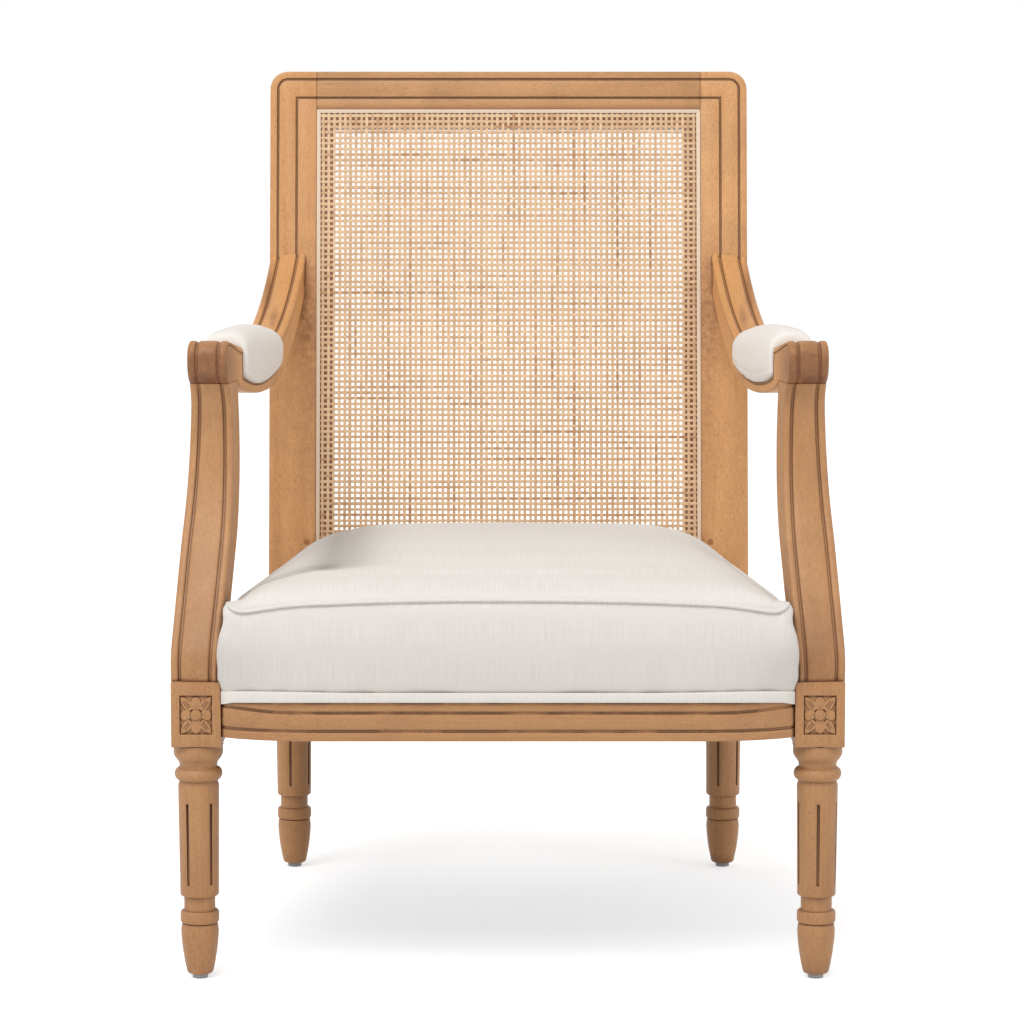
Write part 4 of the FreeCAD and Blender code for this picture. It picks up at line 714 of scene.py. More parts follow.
def wood(
    name, axis="Z", shift=0.0, light=None, dark=None, glaze=1.0, roughness=0.5,
    spots=(), deeper=0.0, worn=0.0,
):
    """Waxed wood with its grain along an axis, glaze and painted shade in its hollows, and smeared spots of
    stain and of painted shade.
    """
    settings = bpy.context.scene.armchair_wood
    material, tree, shader = blank_material(name)
    place = object_place(tree)
    values = {"Vector": place, "Rotation": AXIS_TURNS[axis], "Location": (shift, shift, shift)}
    grain = use_group(tree, shared("grain"), {
        "Vector": new_node(tree, "ShaderNodeMapping", values)[0],
        "Light": light or settings.light,
        "Dark": dark or settings.dark,
        "Pore": settings.pore,
    })
    # glaze in grooves and joints, with painted shade next to other pieces
    colour = use_group(tree, shared("glaze"), {
        "Vector": place, "Color": grain["Color"], "Glaze": settings.glaze, "Amount": glaze, "Worn": worn,
    })["Color"]
    # spots of stain, and painted shade on the ledges behind the cane
    if spots:
        colour = blended(tree, stain_and_shade_spots(tree, place, spots), colour, settings.stain)
    if deeper:
        colour = blended(tree, deeper, colour, settings.warm, "MULTIPLY")
    fill_in(tree, shader, {
        "Base Color": colour,
        "Roughness": spread(tree, grain["Height"], -0.4, 0.4, roughness + 0.1, roughness - 0.06),
        "Specular IOR Level": 0.4,
        "Normal": bump(tree, grain["Height"], 0.35, 0.0004),
    })
    return material


def linen(name, light, dark, yarns=1500.0, relief=0.5, shade=None):
    """Upholstery cloth that follows the piece's cloth map, darkened by painted shade from an attribute."""
    material, tree, shader = blank_material(name)
    place = new_node(tree, "ShaderNodeUVMap", uv_map="cloth")[0]
    values = {"Vector": place, "Light": light, "Dark": dark, "Yarns per metre": yarns}
    cloth = use_group(tree, shared("cloth"), values)
    colour = cloth["Color"]
    # painted shade, read from the piece's attribute
    if shade:
        colour = blended(tree, attribute_value(tree, shade), colour, PAINTED_FOLD_SHADE, "MULTIPLY")
    fill_in(tree, shader, {
        "Base Color": colour,
        "Roughness": spread(tree, cloth["Height"], 0.0, 1.2, 0.95, 0.82),
        "Specular IOR Level": 0.2,
        "Sheen Weight": 0.12,
        "Sheen Roughness": 0.5,
        "Normal": bump(tree, cloth["Height"], relief, 0.0004),
    })
    return material


def reed(name, light, dark, attribute=None):
    """Split cane: pale skin with fine lines and darker lengths."""
    material, tree, shader = blank_material(name)
    fibre = clouds(tree, object_place(tree), 900.0, 2.0, 0.6)
    tone = spread(tree, fibre, 0.3, 0.7, 0.0, 0.35)
    if attribute:
        tone = plus(tree, tone, attribute_value(tree, attribute), True)
    fill_in(tree, shader, {
        "Base Color": blended(tree, tone, light, dark),
        "Roughness": spread(tree, fibre, 0.3, 0.7, 0.45, 0.6),
        "Normal": bump(tree, fibre, 0.3, 0.0002),
    })
    return material


def plain_finish(name, light, dark, roughness, metallic=0.0, scale=300.0):
    """Metal or plastic with fine mottling."""
    material, tree, shader = blank_material(name)
    mottle = clouds(tree, object_place(tree), scale, 3.0, 0.6)
    fill_in(tree, shader, {
        "Base Color": blended(tree, mottle, light, dark),
        "Roughness": spread(tree, mottle, 0.3, 0.7, roughness - 0.08, roughness + 0.08),
        "Metallic": metallic,
        "Normal": bump(tree, mottle, 0.15, 0.0002),
    })
    return material


def cloth_map(mesh):
    """Cloth map in metres, laid on from the side that each face looks to."""
    layer = mesh.uv_layers.new(name="cloth")
    for face in mesh.polygons:
        normal = [abs(part) for part in face.normal]
        way = normal.index(max(normal))
        for loop in face.loop_indices:
            point = mesh.vertices[mesh.loops[loop].vertex_index].co
            layer.data[loop].uv = [part for axis, part in enumerate(point) if axis != way]
    return mesh


# soft pieces

def remeshed(mesh, voxel):
    """Even skin of small squares round a solid."""
    thing = placed("skin", mesh)
    remesh = thing.modifiers.new("Remesh", "REMESH")
    remesh.mode = "VOXEL"
    remesh.voxel_size = voxel
    result = evaluated_mesh(thing)
    bpy.data.objects.remove(thing)
    return result


def puffed(mesh, reach):
    """The skin blown up as cloth, no point moving further than the reach."""
    thing = placed("puffed", mesh)
    start = [vertex.co.copy() for vertex in mesh.vertices]
    cloth = thing.modifiers.new("Cloth", "CLOTH")
    cloth.settings.use_pressure = True
    cloth.settings.uniform_pressure_force = PUFF_PRESSURE
    cloth.settings.effector_weights.gravity = 0.0
    cloth.settings.quality = 5
    cloth.settings.tension_stiffness = 40.0
    cloth.settings.compression_stiffness = 40.0
    cloth.settings.bending_stiffness = 2.0
    cloth.point_cache.frame_start = 1
    cloth.point_cache.frame_end = PUFF_FRAMES
    for number in range(1, PUFF_FRAMES + 1):
        bpy.context.scene.frame_set(number)
    result = evaluated_mesh(thing)
    for vertex, old in zip(result.vertices, start):
        move = vertex.co - old
        if move.length > reach:
            vertex.co = old + move.normalized() * reach
    bpy.data.objects.remove(thing)
    bpy.context.scene.frame_set(1)
    return result


def pushed_out(mesh, amount):
    """Points moved along their normals by an amount that depends on their place."""
    normals = [vertex.normal.copy() for vertex in mesh.vertices]
    for vertex, normal in zip(mesh.vertices, normals):
        vertex.co += normal * amount(vertex.co)


def surfaces(meshes):
    """Surfaces of some meshes, to find the nearest places on them."""
    bm = bmesh.new()
    for mesh in meshes:
        bm.from_mesh(mesh)
    tree = BVHTree.FromBMesh(bm)
    bm.free()
    return tree


def held_off(mesh, tree, gap):
    """Points that come too near a surface are pushed back to the gap."""
    for vertex in mesh.vertices:
        spot, normal, _, distance = tree.find_nearest(vertex.co, 0.02)
        if spot is not None and (distance < gap or (vertex.co - spot).dot(normal) < 0.0):
            vertex.co = spot + normal * gap


# properties

def colour_setting(name, description, default):
    """A colour that a user may change."""
    return bpy.props.FloatVectorProperty(
        name=name, description=description, default=default, subtype="COLOR", size=3, min=0.0, max=1.0,
    )


def length_setting(name, description, default):
    """A small length that a user may change."""
    return bpy.props.FloatProperty(
        name=name, description=description, default=default, subtype="DISTANCE", unit="LENGTH",
        min=0.0, precision=4,
    )


class ArmchairWood(bpy.types.PropertyGroup):
    """Colours of the wood, and the rounds on its edges."""

    light: colour_setting("Light grain", "Lighter tone of the wood", (0.60, 0.325, 0.145))
    dark: colour_setting("Dark grain", "Darker tone of the wood", (0.45, 0.215, 0.085))
    pore: colour_setting("Pores", "Colour of the short dark pores", (0.25, 0.11, 0.045))
    # colour of the glaze, also used for the painted shade next to other pieces
    glaze: colour_setting("Glaze", "Brown glaze in the grooves", (0.15, 0.060, 0.022))
    # colour of the stain, also used for the painted shade on the ledges behind the cane
    stain: colour_setting("Stain", "Smeared dark stain", (0.21, 0.083, 0.034))
    warm: colour_setting("Deeper tone", "Tint that deepens some pieces", (0.62, 0.56, 0.52))
    edge: length_setting("Edge round", "Width of the small rounds on the wood's edges", 0.0008)


class ArmchairCane(bpy.types.PropertyGroup):
    """Sizes and colours of the cane."""

    columns: bpy.props.IntProperty(name="Columns", description="Upright strands", default=69, min=1)
    rows: bpy.props.IntProperty(name="Rows", description="Level strands", default=78, min=1)
    width: length_setting("Strand width", "Width of one strand", 0.0033)
    thickness: length_setting("Strand thickness", "Thickness of one strand", 0.0009)
    light: colour_setting("Pale cane", "Pale skin of the cane", (0.82, 0.580, 0.355))
    dark: colour_setting("Dark cane", "Darker lengths of the cane", (0.42, 0.205, 0.085))


class ArmchairCloth(bpy.types.PropertyGroup):
    """Colours and forms of the upholstery."""

    light: colour_setting("Light yarn", "Lighter yarn of the linen", (0.83, 0.795, 0.750))
    dark: colour_setting("Dark yarn", "Darker yarn of the linen", (0.71, 0.670, 0.620))
    piping: length_setting("Piping radius", "Radius of the seat's piping", 0.0021)


class ArmchairStage(bpy.types.PropertyGroup):
    """Floor, lamps and camera."""

    floor: colour_setting("Floor", "Colour of the floor", (0.88, 0.88, 0.88))
    key: bpy.props.FloatProperty(
        name="Key lamp", description="Power of the main lamp", unit="POWER", default=300.0, min=0.0,
    )
    fill: bpy.props.FloatProperty(
        name="Fill lamps", description="Power of each side lamp", unit="POWER", default=64.0, min=0.0,
    )
    surround: bpy.props.FloatProperty(
        name="Surround", description="Strength of the even light from all round", default=0.52, min=0.0,
    )
    lens: bpy.props.FloatProperty(
        name="Lens", description="Focal length of the camera", unit="CAMERA", default=124.86, min=1.0,
    )
    pitch: bpy.props.FloatProperty(
        name="Look down", description="How far the camera looks down",
        subtype="ANGLE", unit="ROTATION", default=math.radians(6.138),
    )


# operators, each with the forms that only it needs

def dress(node, finish, slot="carved_wood", edge=None, suffix="_wood"):
    """A wooden node with its edges rounded over."""
    width = bpy.context.scene.armchair_wood.edge if edge is None else edge
    bm = soften(merged_copy(node), width)
    return add_piece(node + suffix, to_mesh(bm, node + suffix), finish, slot, node)


class ARMCHAIR_OT_legs(bpy.types.Operator):
    """Turned legs with their blocks"""

    bl_idname = "armchair.legs"
    bl_label = "Legs"

    def execute(self, context):
        for shift, (name, side) in enumerate(SIDES):
            finish = wood(f"front_leg_wood_{name}", "Z", shift * 3.1, deeper=0.35)
            dress(f"front_leg_{name}", finish)
            carved = to_mesh(rosette(side), "rosette", 60)
            add_piece(f"rosette_{name}", carved, finish, "carved_wood")
            spots = (
                ((side * 0.240, 0.292, 0.665), (0.026, 0.06, 0.100), 0.42, 0.8),
                ((side * 0.234, 0.280, 0.560), (0.018, 0.06, 0.190), 0.40, 0.8),
                # painted shade on the ledge behind the cane
                ((side * 0.2150, 0.280, 0.600), (0.0150, 1.0, 1.0), 1.1, 0.2),
                ((side * 0.2545, 0.251, 0.100), (0.2, 0.2, 0.230), 0.30, 0.2),
            )
            finish = wood(f"rear_leg_wood_{name}", "Z", shift * 3.1 + 5.7, *REAR_LEG_TONES, spots=spots)
            dress(f"rear_leg_{name}", finish)
        return {"FINISHED"}


class ARMCHAIR_OT_seat_rails(bpy.types.Operator):
    """Bowed front rail, side rails and rear rail"""

    bl_idname = "armchair.seat_rails"
    bl_label = "Seat rails"

    def execute(self, context):
        finish = wood("front_rail_wood", "X", 1.3, deeper=0.26, worn=0.75)
        mesh = to_mesh(front_rail(), "front_rail")
        add_piece("front_seat_rail_wood", mesh, finish, "carved_wood", "front_seat_rail")
        dress("rear_seat_rail", wood("rear_rail_wood", "X", 2.9))
        for shift, (name, _) in enumerate(SIDES):
            dress(f"side_seat_rail_{name}", wood(f"side_rail_wood_{name}", "Y", 4.0 + shift))
        return {"FINISHED"}


class ARMCHAIR_OT_arms(bpy.types.Operator):
    """Arms and their supports"""

    bl_idname = "armchair.arms"
    bl_label = "Arms"

    def execute(self, context):
        for shift, (name, side) in enumerate(SIDES):
            spots = (((side * 0.318, -0.320, 0.325), (0.050, 0.060, 0.090), 0.30, 0.5),)
            finish = wood(f"support_wood_{name}", "Z", 7.0 + shift, spots=spots, deeper=0.14)
            support = to_mesh(limb(side, support_stations(), 0.008, 0.007), "support")
            add_piece(f"arm_support_{name}_wood", support, finish, "carved_wood", f"arm_support_{name}")
            spots = (
                ((side * 0.310, -0.250, 0.626), (0.090, 0.110, 0.055), 0.95, 0.2),
                ((side * 0.318, -0.243, 0.609), (0.017, 0.060, 0.010), 0.8, 0.1),
                ((side * 0.281, 0.235, 0.690), (0.008, 0.080, 0.060), 0.7, 0.3),
                ((side * 0.270, 0.180, 0.655), (0.006, 0.060, 0.020), 0.5, 0.3),
            )
            finish = wood(f"arm_wood_{name}", "Y", 9.0 + shift, *ARM_TONES, spots=spots)
            arm = to_mesh(cut_at_back(limb(side, arm_stations(), 0.008, 0.008)), "arm")
            add_piece(f"arm_{name}_wood", arm, finish, "carved_wood", f"arm_{name}")
        return {"FINISHED"}


class ARMCHAIR_OT_back(bpy.types.Operator):
    """Rails of the back, the splines round the cane and the pegs"""

    bl_idname = "armchair.back"
    bl_label = "Back"

    def execute(self, context):
        # painted shade on the top rail's ledge behind the cane
        ledge_shade_spots = (((0.0, 0.33, 0.8862), (1.0, 1.0, 0.0150), 1.1, 0.2),)
        dress("top_rail", wood("top_rail_wood", "X", 11.0, spots=ledge_shade_spots))
        dress("lower_back_rail", wood("lower_rail_wood", "X", 12.0))
        pale = reed("spline_reed", *SPLINE_TONES)
        for word in ("left", "right", "top", "bottom"):
            dress(f"cane_spline_{word}", pale, "spline_reed", 0.0006, "_reed")
        paint("stile_pegs", wood("peg_wood", "Y", 3.0, *PEG_TONES, glaze=0.4))
        return {"FINISHED"}


def strand(length, crossings, width, thickness, wave):
    """One strand along Z that goes over and under at each crossing."""
    bm = bmesh.new()
    bmesh.ops.create_cone(bm, cap_ends=True, segments=4, radius1=1.0, radius2=1.0, depth=length)
    long_edges = [edge for edge in bm.edges if abs(edge.verts[0].co.z - edge.verts[1].co.z) > length * 0.5]
    bmesh.ops.subdivide_edges(bm, edges=long_edges, cuts=crossings * 2 - 1)
    bmesh.ops.scale(bm, vec=(width * 0.5, thickness * 0.5, 1.0), verts=bm.verts)
    for vertex in bm.verts:
        place = (vertex.co.z / length + 0.5) * crossings
        vertex.co.y += wave * math.sin(math.pi * place)
    return bm


def cane_tone(index, level, along, base, strong):
    """How dark a strand is at a place along it."""
    streak = noise.noise(Vector((index * 5.3 + level * 90.0, along * 19.0, 0.5)))
    fleck = noise.noise(Vector((index * 2.9 + level * 50.0, along * 75.0, 4.5)))
    tone = max(0.0, streak * 0.8 - 0.16) + 0.36 * base + 0.16 * fleck
    if strong:
        tone += 0.55 * max(0.0, noise.noise(Vector((index * 1.7, along * 7.0, 9.5))) + 0.10)
    return tone


def cane_layer(name, level, settings, dice):
    """All strands of one way, upright for level 0 and level for 1, with their tones."""
    spans = (LEDGE_PLACE["right"] - LEDGE_PLACE["left"], LEDGE_PLACE["top"] - LEDGE_PLACE["bottom"])
    counts = (settings.columns, settings.rows)
    start = LEDGE_PLACE["bottom" if level else "left"]
    middle = (LEDGE_PLACE["top"] + LEDGE_PLACE["bottom"]) * 0.5
    whole = bmesh.new()
    tones = []
    for index in range(counts[level]):
        wave = 0.00045 * (1 if (index + level) % 2 else -1)
        width = settings.width * dice.uniform(0.86, 1.10)
        bm = strand(spans[1 - level], counts[1 - level], width, settings.thickness, wave)
        place = start + (index + 0.5) * spans[level] / counts[level] + dice.uniform(-0.0003, 0.0003)
        base = dice.random() ** 2.2
        strong = dice.random() > 0.80
        for vertex in bm.verts:
            along = vertex.co.z
            depth = 0.0019 + vertex.co.y
            wander = 0.0004 * noise.noise(Vector((index * 3.7 + level, along * 9.0, 0.0)))
            across = place + vertex.co.x + wander
            vertex.co = raked(along, across, depth) if level else raked(across, middle + along, depth)
            tones.append(cane_tone(index, level, along, base, strong))
        piece = bpy.data.meshes.new("strand")
        bm.to_mesh(piece)
        bm.free()
        whole.from_mesh(piece)
        bpy.data.meshes.remove(piece)
    mesh = to_mesh(whole, name, 100)
    mesh.attributes.new("cane_tone", "FLOAT", "POINT").data.foreach_set("value", tones)
    return mesh


class ARMCHAIR_OT_cane(bpy.types.Operator):
    """Woven cane panel of the back"""

    bl_idname = "armchair.cane"
    bl_label = "Cane"

    def execute(self, context):
        settings = context.scene.armchair_cane
        dice = random.Random(7)
        finish = reed("split_cane", settings.light, settings.dark, "cane_tone")
        mesh = cane_layer("cane_uprights", 0, settings, dice)
        add_piece("cane_uprights", mesh, finish, "cane", "cane_panel")
        mesh = cane_layer("cane_levels", 1, settings, dice)
        add_piece("cane_levels", mesh, finish, "cane")
        return {"FINISHED"}


def seat_lift(x, y, z):
    """How far the front of the cushion stands above or below its plain form."""
    height = (z - RAIL_TOP) / SEAT_EDGE
    share = ramp(height, 0.15, 0.95) * ramp(height, 1.27, 0.97)
    return between(EDGE_LIFT, abs(x)) * faded(y, -0.16, -0.32) * share


def seat_drop(y, z):
    """How far the crown falls away towards the rear."""
    return -between(CROWN_FALL, y) * ramp(z, 0.392, 0.432)


def shoulder_fall(x, y, z):
    """How far the top falls towards the sides, behind the front edge."""
    return -between(SHOULDER_FALL, abs(x)) * ramp(z, 0.360, 0.385) * ramp(y, -0.315, -0.270)


def front_push(x, y, z):
    """How far the front stands forward of a bow: straight to the blocks, lower down along the rail."""
    share = min(1.0, abs(x) / SEAT_HALF)
    straight = STRAIGHTENED * SEAT_BOW * share * share
    along_rail = rail_arc(x) - rail_face(x)
    return (straight + (along_rail - straight) * faded(z, 0.362, 0.300)) * faded(y, -0.262, -0.312)


def seat_crease(x, y):
    """Soft fold behind the front edge at the left, and the hollow that it leads into."""
    fold = 0.0030 * hump(y, FOLD_LINE, 0.009) * faded(x, -0.135, -0.185)
    hollow = 0.0022 * hump(x, HOLLOW_LINE, 0.036) * faded(y, FOLD_LINE - 0.01, FOLD_LINE + 0.04)
    return -fold - hollow


def painted_seat_shade(x, y, z):
    """How much painted shade darkens the cloth in the fold, in the hollow and low on the front."""
    if z < 0.392:
        return faded(y, -0.320, -0.345) * (0.035 + 0.075 * ramp(z, 0.392, 0.302))
    hollow = 0.40 * hump(x, HOLLOW_LINE, 0.040 if x > HOLLOW_LINE else 0.026) + 0.08 * faded(x, -0.17, -0.19)
    fold = 0.26 * hump(y, FOLD_LINE + 0.004, 0.010) * faded(x, -0.165, -0.195)
    behind = faded(y, FOLD_LINE - 0.006, FOLD_LINE + 0.008)
    return behind * hollow + fold * faded(y, FOLD_LINE - 0.012, FOLD_LINE - 0.002)


def shape_seat(spot):
    """Move a point of the cushion from its plain form to the sewn one."""
    low = max(0.0, 1.0 - (spot.z - RAIL_TOP) / SEAT_EDGE)
    push = front_push(*spot) + FRONT_BULGE * low * ramp(spot.y, -0.30, -0.32)
    spot.z += seat_lift(*spot) + seat_drop(spot.y, spot.z)
    spot.z += shoulder_fall(*spot)
    spot.y -= push
    if spot.z > 0.385:
        spot.z += seat_crease(spot.x, spot.y)
    if spot.y < -0.22 and abs(spot.x) > 0.270:
        side = math.copysign(1.0, spot.x)
        spot.x -= side * CORNER_PINCH * hump(spot.z, 0.376, 0.012)
        spot.x += side * CORNER_BULGE * hump(spot.z, 0.335, 0.022) * ramp(spot.y, -0.333, -0.339)
        low_corner = faded(spot.z, 0.334, 0.314) * faded(spot.y, -0.300, -0.318)
        spot.x += side * CORNER_FOOT * low_corner * faded(abs(spot.x), 0.270, 0.284)


def tube(path, radius, segments=8):
    """Closed tube round a closed path."""
    turns = [2.0 * math.pi * step / segments for step in range(segments)]
    rings = []
    for index, spot in enumerate(path):
        along = (path[(index + 1) % len(path)] - path[index - 1]).normalized()
        side = along.cross(Vector((0.0, 0.0, 1.0))).normalized()
        rise = side.cross(along)
        rings.append([spot + (side * math.cos(turn) + rise * math.sin(turn)) * radius for turn in turns])
    return swept([*rings, rings[0]])


def turned_corner(before, corner, after, steps=6):
    """Points that round a corner of the seat's plan."""
    first = (before - corner).normalized()
    second = (after - corner).normalized()
    reach = SEAT_CORNER / math.tan(first.angle(second) * 0.5)
    start = corner + first * reach
    end = corner + second * reach
    shares = [step / steps for step in range(steps + 1)]
    return [start.lerp(corner, share).lerp(corner.lerp(end, share), share) for share in shares]


def piping_line():
    """Level line round the cushion's edge: bowed front, slanting sides and straight rear."""
    plan = [(SEAT_HALF, SEAT_FRONT), (SEAT_REAR_HALF, SEAT_REAR)]
    plan += [(-x, y) for x, y in reversed(plan)]
    corners = [Vector((x, y, SEAT_EDGE_TOP)) for x, y in plan]
    front = []
    for step in range(1, 40):
        x = -SEAT_HALF + 2.0 * SEAT_HALF * step / 40
        front.append(Vector((x, SEAT_FRONT - SEAT_BOW * (1.0 - (x / SEAT_HALF) ** 2), SEAT_EDGE_TOP)))
    outline = [spot for spot in front if abs(spot.x) < SEAT_HALF - SEAT_CORNER]
    neighbours = [front[-1], *corners, front[0]]
    for before, corner, after in zip(neighbours, corners, neighbours[2:]):
        outline += turned_corner(before, corner, after)
        if corner is not corners[-1]:
            way = after - corner
            count = max(2, round(way.length / 0.012))
            middle = [corner + way * step / count for step in range(1, count)]
            room = SEAT_CORNER * 1.4
            outline += [spot for spot in middle if min((spot - corner).length, (spot - after).length) > room]
    return outline


def piping_path(mesh, raised):
    """The piping's line, lifted to the cushion, laid on its skin and evened out."""
    skin = surfaces([mesh])
    path = []
    for spot in piping_line():
        rise = seat_lift(*spot) - between(SIDE_FALL, spot.y) + shoulder_fall(*spot)
        found, normal, _, _ = skin.find_nearest(spot + Vector((0.0, -front_push(*spot), rise)))
        path.append(found + normal * raised)
    for _ in range(4):
        triples = zip([path[-1], *path], path, [*path[1:], path[0]])
        path = [(before + spot * 2.0 + after) * 0.25 for before, spot, after in triples]
    return path


class ARMCHAIR_OT_seat(bpy.types.Operator):
    """Tight seat: cushion, piping and band"""

    bl_idname = "armchair.seat"
    bl_label = "Seat"

    def execute(self, context):
        settings = context.scene.armchair_cloth
        finish = linen("seat_linen", settings.light, settings.dark)
        bm = merged_copy("seat_foam")
        bm.normal_update()
        for vertex in bm.verts:
            vertex.co += vertex.normal * SEAT_COVER
        mesh = remeshed(to_mesh(bm, "seat_start"), 0.005)
        bm = bmesh.new()
        bm.from_mesh(mesh)
        for _ in range(2):
            bmesh.ops.smooth_vert(
                bm, verts=bm.verts, factor=0.5, use_axis_x=True, use_axis_y=True, use_axis_z=True,
            )
        mesh = puffed(to_mesh(bm, "seat_cushion", 180), 0.003)
        for vertex in mesh.vertices:
            shape_seat(vertex.co)
        near = [f"{part}_{side}" for part in ("front_leg", "rear_leg", "arm_support") for side, _ in SIDES]
        held_off(mesh, surfaces([NODES[node].data for node in (*near, "lower_back_rail")]), 0.0006)
        path = piping_path(mesh, settings.piping * 0.75)
        line = KDTree(len(path))
        for index, spot in enumerate(path):
            line.insert(spot, index)
        line.balance()
        pushed_out(mesh, lambda spot: -0.0009 * hump(line.find(spot)[2], 0.0, 0.0055))
        cloth_map(mesh)
        # painted shade of the fold, the hollow and the lower front, kept on the cushion
        painted_shade_values = [painted_seat_shade(*vertex.co) for vertex in mesh.vertices]
        mesh.attributes.new("painted_fold_shade", "FLOAT", "POINT").data.foreach_set("value", painted_shade_values)
        painted_shade_linen = linen("cushion_linen", settings.light, settings.dark, shade="painted_fold_shade")
        piece = add_piece("seat_cushion", mesh, painted_shade_linen, "upholstery_linen", "seat_foam", "seat_cover")
        mesh = cloth_map(to_mesh(tube(path, settings.piping), "seat_piping_linen", 80))
        add_piece("seat_piping_linen", mesh, finish, "upholstery_linen", "seat_piping")
        bm = merged_copy("seat_band")
        front = [vertex for vertex in bm.verts if vertex.co.y < -0.30]
        bmesh.ops.delete(bm, geom=front, context="VERTS")
        soften(bm, 0.0005)
        bm.from_mesh(to_mesh(front_band(), "front_band"))
        mesh = cloth_map(to_mesh(bm, "seat_band_linen", 50))
        add_piece("seat_band_linen", mesh, finish, "upholstery_linen", "seat_band")
        return {"FINISHED"}


def pad_stations():
    """Sections of an arm pad from its front end to its rear end."""
    places = [place for place, _, _ in PAD_ENDS[:5]]
    places += [0.10 + 0.80 * step / 40 for step in range(1, 40)]
    places += [place for place, _, _ in PAD_ENDS[5:]]
    widths = [(place, width) for place, width, _ in PAD_ENDS]
    pulls = [(place, pull) for place, _, pull in PAD_ENDS]
    stations = []
    for place in places:
        reach = PAD_START + PAD_LENGTH * place
        base = PAD_BASE - PAD_SAG * 4.0 * place * (1.0 - place)
        top = ARM_TOP + PAD_CROWN * between(PAD_CROWNS, place)
        pull = between(pulls, place) * (top - base)
        stations.append((reach, base + pull * 0.55, top - pull, PAD_HALF * between(widths, place)))
    return stations


class ARMCHAIR_OT_arm_pads(bpy.types.Operator):
    """Pads on the arms"""

    bl_idname = "armchair.arm_pads"
    bl_label = "Arm pads"

    def execute(self, context):
        settings = context.scene.armchair_cloth
        # lighter copy of the seat's linen for the pads: painted light on their shaded sides
        light = [min(0.92, value * 1.11) for value in settings.light]
        dark = [value * 1.15 for value in settings.dark]
        finish = linen("pad_linen_painted_light", light, dark)
        for name, side in SIDES:
            rings = []
            for reach, low, high, half in pad_stations():
                right = [(half * across, low + (high - low) * rise) for across, rise in PAD_PROFILE]
                left = [(-across, z) for across, z in reversed(right)]
                section = [(0.0, low), *right, (0.0, high), *left]
                rings.append([side_point(side, reach, across, z) for across, z in section])
            mesh = puffed(to_mesh(swept(rings), f"arm_pad_{name}", 75), 0.0012)
            pushed_out(mesh, lambda spot: 0.0004 * noise.noise(spot * 38.0))
            cloth_map(mesh)
            nodes = (f"arm_pad_foam_{name}", f"arm_pad_cover_{name}")
            piece = add_piece(f"arm_pad_{name}", mesh, finish, "upholstery_linen", *nodes)
        return {"FINISHED"}


def flat_cloth(name, node, finish, slot):
    """A thin cloth in the frame's own shape, with a cloth map."""
    return add_piece(name, cloth_map(to_mesh(merged_copy(node), name)), finish, slot, node)


class ARMCHAIR_OT_underside(bpy.types.Operator):
    """Webbing, deck cloth, dust cover and corner blocks"""

    bl_idname = "armchair.underside"
    bl_label = "Underside"

    def execute(self, context):
        block = wood("corner_block_wood", "X", 21.0, (0.66, 0.44, 0.24), (0.52, 0.32, 0.16), 0.5, 0.7)
        for name, _ in SIDES:
            for end in ("front", "rear"):
                dress(f"corner_block_{end}_{name}", block, "corner_block_wood", 0.0006)
        strap = linen("jute_webbing", (0.42, 0.30, 0.17), (0.26, 0.17, 0.09), 450.0, 0.9)
        for node in ("webbing_lengthwise", "webbing_crosswise"):
            flat_cloth(node + "_straps", node, strap, "webbing")
        deck = linen("deck_cloth", (0.55, 0.52, 0.46), (0.42, 0.39, 0.34), 900.0, 0.6)
        piece = flat_cloth("deck_sheet", "deck_cloth", deck, "deck_fabric")
        dust = linen("dust_cloth", (0.035, 0.034, 0.033), (0.015, 0.015, 0.015), 700.0, 0.5)
        piece = flat_cloth("dust_sheet", "dust_cover", dust, "dust_fabric")
        return {"FINISHED"}


class ARMCHAIR_OT_fittings(bpy.types.Operator):
    """Glides, nails, screws, staples and dowels"""

    bl_idname = "armchair.fittings"
    bl_label = "Fittings"

    def execute(self, context):
        plastic = plain_finish("grey_plastic", (0.42, 0.42, 0.43), (0.30, 0.30, 0.31), 0.45)
        for name, _ in SIDES:
            for end in ("front", "rear"):
                dress(f"glide_{end}_{name}", plastic, "glide_plastic", 0.0008, "_disc")
        steel = plain_finish("bright_steel", (0.55, 0.54, 0.53), (0.40, 0.39, 0.38), 0.38, 1.0, 500.0)
        for node in (
            "glide_nails", "arm_screws", "corner_block_screws", "webbing_staples", "dust_cover_staples",
        ):
            paint(node, steel)
        dowel = wood("dowel_wood", "X", 31.0, (0.68, 0.48, 0.28), (0.55, 0.36, 0.19), 0.3, 0.7)
        for node in ("seat_rail_dowels", "top_rail_dowels", "arm_support_dowels"):
            paint(node, dowel)
        return {"FINISHED"}


def seen_rays(tree):
    """1 for what the camera sees, also in a reflection or through glass."""
    rays = new_node(tree, "ShaderNodeLightPath")
    seen = plus(tree, rays["Is Camera Ray"], rays["Is Glossy Ray"])
    return plus(tree, seen, rays["Is Transmission Ray"], True)


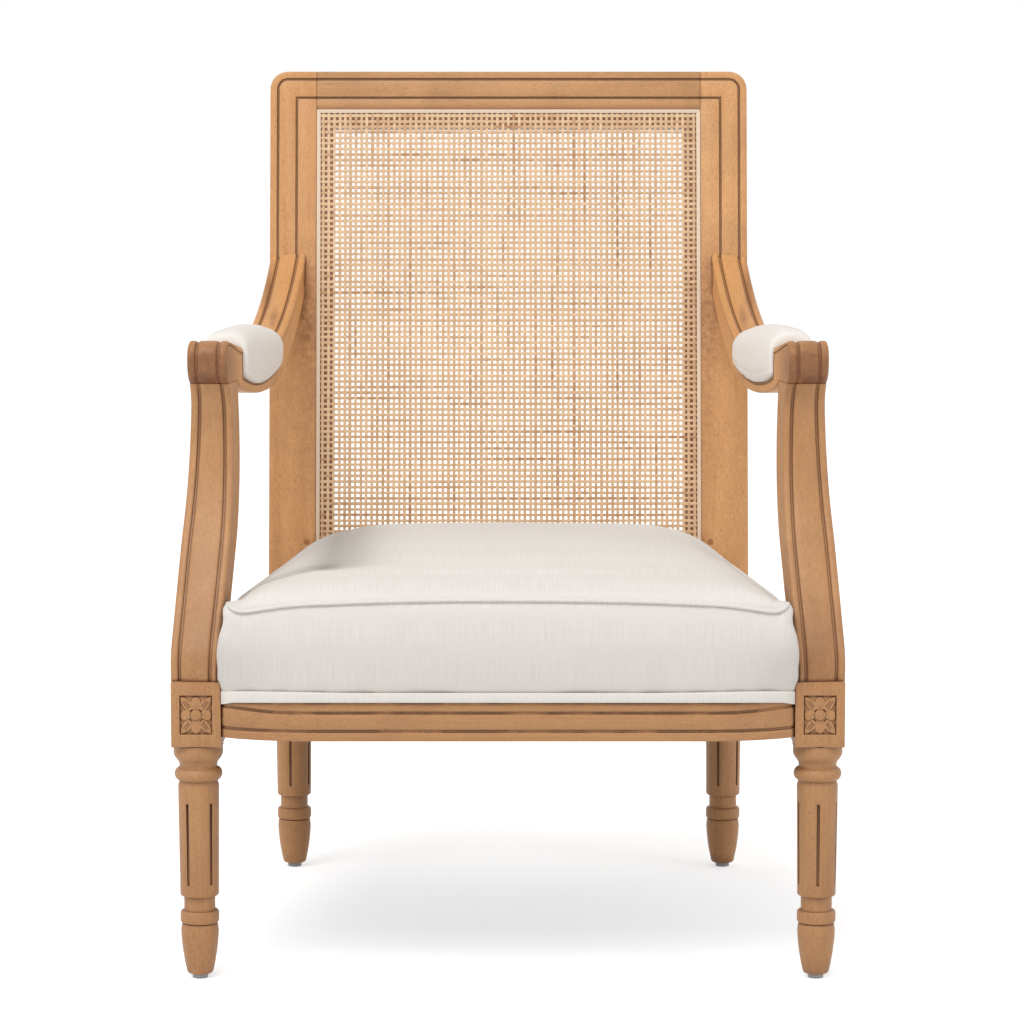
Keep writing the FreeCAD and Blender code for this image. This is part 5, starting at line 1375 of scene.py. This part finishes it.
class ARMCHAIR_OT_stage(bpy.types.Operator):
    """Floor, lamps, surround and camera"""

    bl_idname = "armchair.stage"
    bl_label = "Stage"

    def execute(self, context):
        scene = context.scene
        settings = scene.armchair_stage
        bm = bmesh.new()
        bmesh.ops.create_grid(bm, x_segments=1, y_segments=1, size=30.0)
        floor = placed("studio_floor", to_mesh(bm, "studio_floor"))
        material, tree, shader = blank_material("floor_paint")
        floor.data.materials.append(material)
        fill_in(tree, shader, {
            "Base Color": settings.floor,
            "Roughness": 1.0,
            "Specular IOR Level": 0.0,
            "Emission Color": WHITE,
            "Emission Strength": times(tree, seen_rays(tree), 0.55),
        })

        world = bpy.data.worlds.new("studio_world")
        scene.world = world
        world.use_nodes = True
        tree = world.node_tree
        level = times(tree, seen_rays(tree), 1.0 - settings.surround)
        strength = plus(tree, level, settings.surround)
        fill_in(tree, tree.nodes["Background"], {"Color": WHITE, "Strength": strength})

        lamps = (
            ("key_lamp", (-1.6, -4.0, 6.6), (0.0, 0.0, 0.45), 5.0, settings.key),
            ("left_lamp", (-6.2, -3.6, 3.2), (0.0, 0.0, 0.5), 4.0, settings.fill),
            ("right_lamp", (6.2, -3.2, 3.0), (0.0, 0.0, 0.5), 4.0, settings.fill * 1.2),
        )
        for name, place, target, width, power in lamps:
            data = bpy.data.lights.new(name, "AREA")
            data.shape = "DISK"
            data.size = width
            data.energy = power
            lamp = placed(name, data)
            lamp.location = place
            lamp.rotation_euler = (Vector(target) - Vector(place)).to_track_quat("-Z", "Y").to_euler()

        data = bpy.data.cameras.new("studio_camera")
        data.sensor_width = 36.0
        data.lens = settings.lens
        camera = placed("studio_camera", data)
        camera.location = (0.0041, -3.909, 0.8707)
        camera.rotation_euler = (math.radians(90.0) - settings.pitch, 0.0, 0.0)
        scene.camera = camera
        scene.view_settings.view_transform = "Standard"
        return {"FINISHED"}


OPERATORS = (
    ARMCHAIR_OT_stage,
    ARMCHAIR_OT_legs,
    ARMCHAIR_OT_seat_rails,
    ARMCHAIR_OT_arms,
    ARMCHAIR_OT_back,
    ARMCHAIR_OT_cane,
    ARMCHAIR_OT_seat,
    ARMCHAIR_OT_arm_pads,
    ARMCHAIR_OT_underside,
    ARMCHAIR_OT_fittings,
)

GROUPS_OF_SETTINGS = (
    ("armchair_wood", ArmchairWood),
    ("armchair_cane", ArmchairCane),
    ("armchair_cloth", ArmchairCloth),
    ("armchair_stage", ArmchairStage),
)


class ARMCHAIR_PT_panel(bpy.types.Panel):
    """Lists the settings and the pieces"""

    bl_idname = "ARMCHAIR_PT_panel"
    bl_label = "Armchair"
    bl_space_type = "VIEW_3D"
    bl_region_type = "UI"
    bl_category = "Armchair"

    def draw(self, context):
        for word, kind in GROUPS_OF_SETTINGS:
            box = self.layout.box()
            for setting in kind.__annotations__:
                box.prop(getattr(context.scene, word), setting)
        for operator in OPERATORS:
            self.layout.operator(operator.bl_idname)


def register():
    for word, kind in GROUPS_OF_SETTINGS:
        bpy.utils.register_class(kind)
        setattr(bpy.types.Scene, word, bpy.props.PointerProperty(type=kind))
    for kind in (*OPERATORS, ARMCHAIR_PT_panel):
        bpy.utils.register_class(kind)


def unregister():
    for kind in (ARMCHAIR_PT_panel, *reversed(OPERATORS)):
        bpy.utils.unregister_class(kind)
    for word, kind in GROUPS_OF_SETTINGS:
        delattr(bpy.types.Scene, word)
        bpy.utils.unregister_class(kind)


def main():
    """Make the chair."""
    register()
    for operator in OPERATORS:
        family, name = operator.bl_idname.split(".")
        getattr(getattr(bpy.ops, family), name)()


if __name__ == "__main__":
    main()
